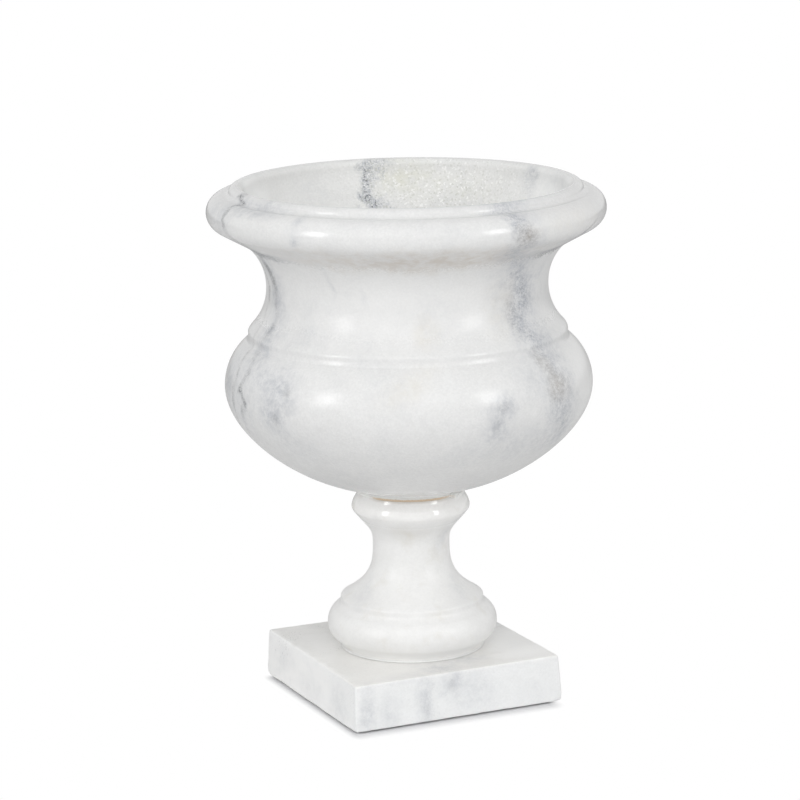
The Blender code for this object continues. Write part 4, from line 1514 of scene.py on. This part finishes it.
def make_washer():
    steel = steel_finish("washer_steel", colour(0.60, 0.60, 0.61), (5.0, 1.0, 1.0))
    outline = washer_outline(ROD_BORE, WASHER_RADIUS, rise_of("rod_washer"), WASHER_EASE)
    fitted(turned("washer", "rod_washer", outline, steel), "rod_washer")


def make_nut():
    """Nut turned round first, then cut to six flats and chamfered."""
    steel = steel_finish("nut_steel", colour(0.58, 0.58, 0.60), (1.0, 1.0, 0.3))
    low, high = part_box("rod_nut")
    outline = washer_outline(ROD_BORE, NUT_FLATS / 2 / math.cos(math.pi / 6), high.z - low.z, NUT_EASE)
    outline = chain(*[line(a, b, 6) for a, b in zip(outline, outline[1:])])
    nut = turned("hex_nut", "rod_nut", outline, steel)
    middle = (low.z + high.z) / 2
    half = (high.z - low.z) / 2
    for vertex in nut.data.vertices:
        x, y, z = vertex.co
        radius = math.hypot(x, y)
        if radius < NUT_BORE_EDGE:
            continue
        sector = (math.atan2(y, x) % (math.pi / 3)) - math.pi / 6
        flat = NUT_FLATS / 2 / math.cos(sector)
        chamfer = NUT_FLATS / 2 + (half - abs(z - middle)) * NUT_CHAMFER
        limit = min(flat, chamfer) / radius
        if limit < 1:
            vertex.co.x *= limit
            vertex.co.y *= limit
    fitted(faced(nut), "rod_nut")


def make_anchor():
    height = rise_of("rod_anchor")
    inside = height - ANCHOR_CAP
    outer = [(0.0, height), (ANCHOR_RADIUS, height), (ANCHOR_RADIUS, 0.0)]
    cup = outer + [(ROD_BORE, 0.0), (ROD_BORE, inside), (0.0, inside)]
    resin = turned("resin_cup", "rod_anchor", eased(cup, ANCHOR_EASE), resin_finish(), waver=0.0002, seed=1.7)
    fitted(resin, "rod_anchor")


def make_pads():
    felt = felt_finish()
    for node in ("pad_front_left", "pad_front_right", "pad_rear_left", "pad_rear_right"):
        low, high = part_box(node)
        height = high.z - low.z
        disc = [(0.0, height), (PAD_RADIUS, height), (PAD_RADIUS, 0.0), (0.0, 0.0)]
        outline = eased(disc, PAD_EASE)
        outline = chain(line((0.0, height), outline[1], 8), outline[1:-1], line(outline[-2], (0.0, 0.0), 8))
        centre = ((low.x + high.x) / 2, (low.y + high.y) / 2)
        pad = turned("felt_" + node, node, outline, felt, centre=centre)
        for vertex in pad.data.vertices:
            spread = noise.noise(vertex.co * 900)
            away = Vector((vertex.co.x - centre[0], vertex.co.y - centre[1], 0.0))
            if away.length > PAD_EDGE:
                vertex.co -= away.normalized() * PAD_FRAY * (spread + 1)
        fitted(pad, node)


# Stage, light and camera

FLOOR_HALF = 8.0
# How far the contact shadow shows from the plinth's foot, and how far short of its far corners it fades
LEFT_CONTACT = 0.0085
FRONT_CONTACT = 0.0150
CONTACT_FADE = 0.0120
FLOOR_BOUNCE = colour(0.86, 0.86, 0.86)
# The camera sees the floor darker than the light it throws back, which deepens the contact shadow: painted shade
PAINTED_SHADE_FLOOR = colour(0.72, 0.72, 0.73)
AMBIENT = 0.31
MIRRORED_AIR = 0.8


def make_floor():
    mesh = bpy.data.meshes.new("studio_floor")
    corners = [(x * FLOOR_HALF, y * FLOOR_HALF, 0.0) for x, y in ((-1, -1), (1, -1), (1, 1), (-1, 1))]
    mesh.from_pydata(corners, [], [(0, 1, 2, 3)])
    floor = put("studio_floor", mesh)
    made = bpy.data.materials.new("white_floor")
    made.use_nodes = True
    made.node_tree.nodes.clear()
    bench = Bench(made.node_tree)
    x, y, _ = bench.split(bench.place())
    left = (-PLINTH_HALF - x).most(0.0) / LEFT_CONTACT
    right = (x - PLINTH_HALF + CONTACT_FADE).most(0.0) / CONTACT_FADE
    front = (-PLINTH_HALF - y).most(0.0) / FRONT_CONTACT
    rear = (y - PLINTH_HALF + CONTACT_FADE).most(0.0) / CONTACT_FADE
    aside = left.most(right)
    ahead = front.most(rear)
    away = bench.math("SQRT", aside * aside + ahead * ahead)
    clear = bench.ease(away, 0.0, 1.0)
    seen = bench.add("ShaderNodeLightPath", out="Is Camera Ray")
    # Painted shade: near the plinth the camera sees a darker floor
    shade = bench.mix(seen, FLOOR_BOUNCE, PAINTED_SHADE_FLOOR)
    lit = bench.add("ShaderNodeBsdfDiffuse", None, {"Color": shade})
    white = bench.add("ShaderNodeEmission", None, {"Color": WHITE, "Strength": 1.0})
    surface = bench.add("ShaderNodeMixShader", None, {0: seen * clear, 1: lit, 2: white})
    bench.add("ShaderNodeOutputMaterial", None, {"Surface": surface})
    mesh.materials.append(made)


def make_world():
    world = bpy.data.worlds.new("studio_air")
    bpy.context.scene.world = world
    world.use_nodes = True
    world.node_tree.nodes.clear()
    bench = Bench(world.node_tree)
    path = bench.add("ShaderNodeLightPath", out="Is Camera Ray")
    seen = path.most(path.out("Is Glossy Ray") * MIRRORED_AIR)
    dim = bench.add("ShaderNodeBackground", None, {"Color": WHITE, "Strength": AMBIENT})
    white = bench.add("ShaderNodeBackground", None, {"Color": WHITE, "Strength": 1.0})
    air = bench.add("ShaderNodeMixShader", None, {0: seen, 1: dim, 2: white})
    bench.add("ShaderNodeOutputWorld", None, {"Surface": air})


# Soft boxes: turn to the right of the camera and elevation in degrees, distance, width, height, brightness, and
# whether polished stone mirrors it. The panels only fill the shadows.
SOFT_BOXES = (
    ("soft_box_left", -52.0, 19.0, 2.2, 0.42, 0.80, 8.4, True),
    ("soft_box_right", 51.0, 19.0, 2.2, 0.42, 0.80, 7.6, True),
    ("panel_front", 0.0, 30.0, 2.6, 2.0, 1.2, 3.1, False),
    ("panel_left", -98.0, 28.0, 2.2, 1.5, 1.2, 1.24, False),
    ("panel_right", 98.0, 28.0, 2.2, 1.5, 1.2, 1.08, False),
    ("panel_top", 0.0, 65.0, 2.2, 1.6, 1.2, 1.3, False),
)
AIM_HEIGHT = 0.25


def soft_box(name, turn, elevation, distance, width, tall, brightness, mirrored):
    """Soft box that faces the urn."""
    elevation = math.radians(elevation)
    place = Vector((0.0, 0.0, AIM_HEIGHT + distance * math.sin(elevation)))
    place.xy = [distance * math.cos(elevation) * level for level in heading(math.radians(turn))]
    lamp = bpy.data.lights.new(name, "AREA")
    lamp.shape = "RECTANGLE"
    lamp.size = width
    lamp.size_y = tall
    lamp.energy = brightness * math.pi * width * tall
    holder = put(name, lamp)
    holder.location = place
    aim = Vector((0.0, 0.0, AIM_HEIGHT)) - place
    holder.rotation_euler = aim.to_track_quat("-Z", "Y").to_euler()
    holder.visible_glossy = mirrored


def make_camera():
    level = Vector((math.cos(CAMERA_YAW), -math.sin(CAMERA_YAW), 0.0))
    ahead = [part * math.cos(CAMERA_PITCH) for part in (math.sin(CAMERA_YAW), math.cos(CAMERA_YAW))]
    forward = Vector((*ahead, -math.sin(CAMERA_PITCH)))
    down = forward.cross(level)
    across = math.cos(CAMERA_ROLL) * level + math.sin(CAMERA_ROLL) * down
    fall = -math.sin(CAMERA_ROLL) * level + math.cos(CAMERA_ROLL) * down
    axes = Matrix((across, -fall, -forward)).transposed().to_4x4()
    place = Matrix.Translation((0.0, -CAMERA_DISTANCE, CAMERA_HEIGHT))
    lens = bpy.data.cameras.new("studio_camera")
    lens.lens = CAMERA_LENS
    lens.sensor_width = SENSOR_WIDTH
    lens.clip_end = CAMERA_SIGHT
    camera = put("studio_camera", lens)
    camera.matrix_world = Matrix.Rotation(-CAMERA_TURN, 4, "Z") @ place @ axes
    bpy.context.scene.camera = camera


make_camera()
make_bowl(bowl_marble())
make_pedestal(pedestal_marble())
make_plinth(plinth_marble())
make_beds()
make_rod()
make_washer()
make_nut()
make_anchor()
make_pads()
make_floor()
make_world()
for row in SOFT_BOXES:
    soft_box(*row)

bpy.context.scene.view_settings.view_transform = "Standard"
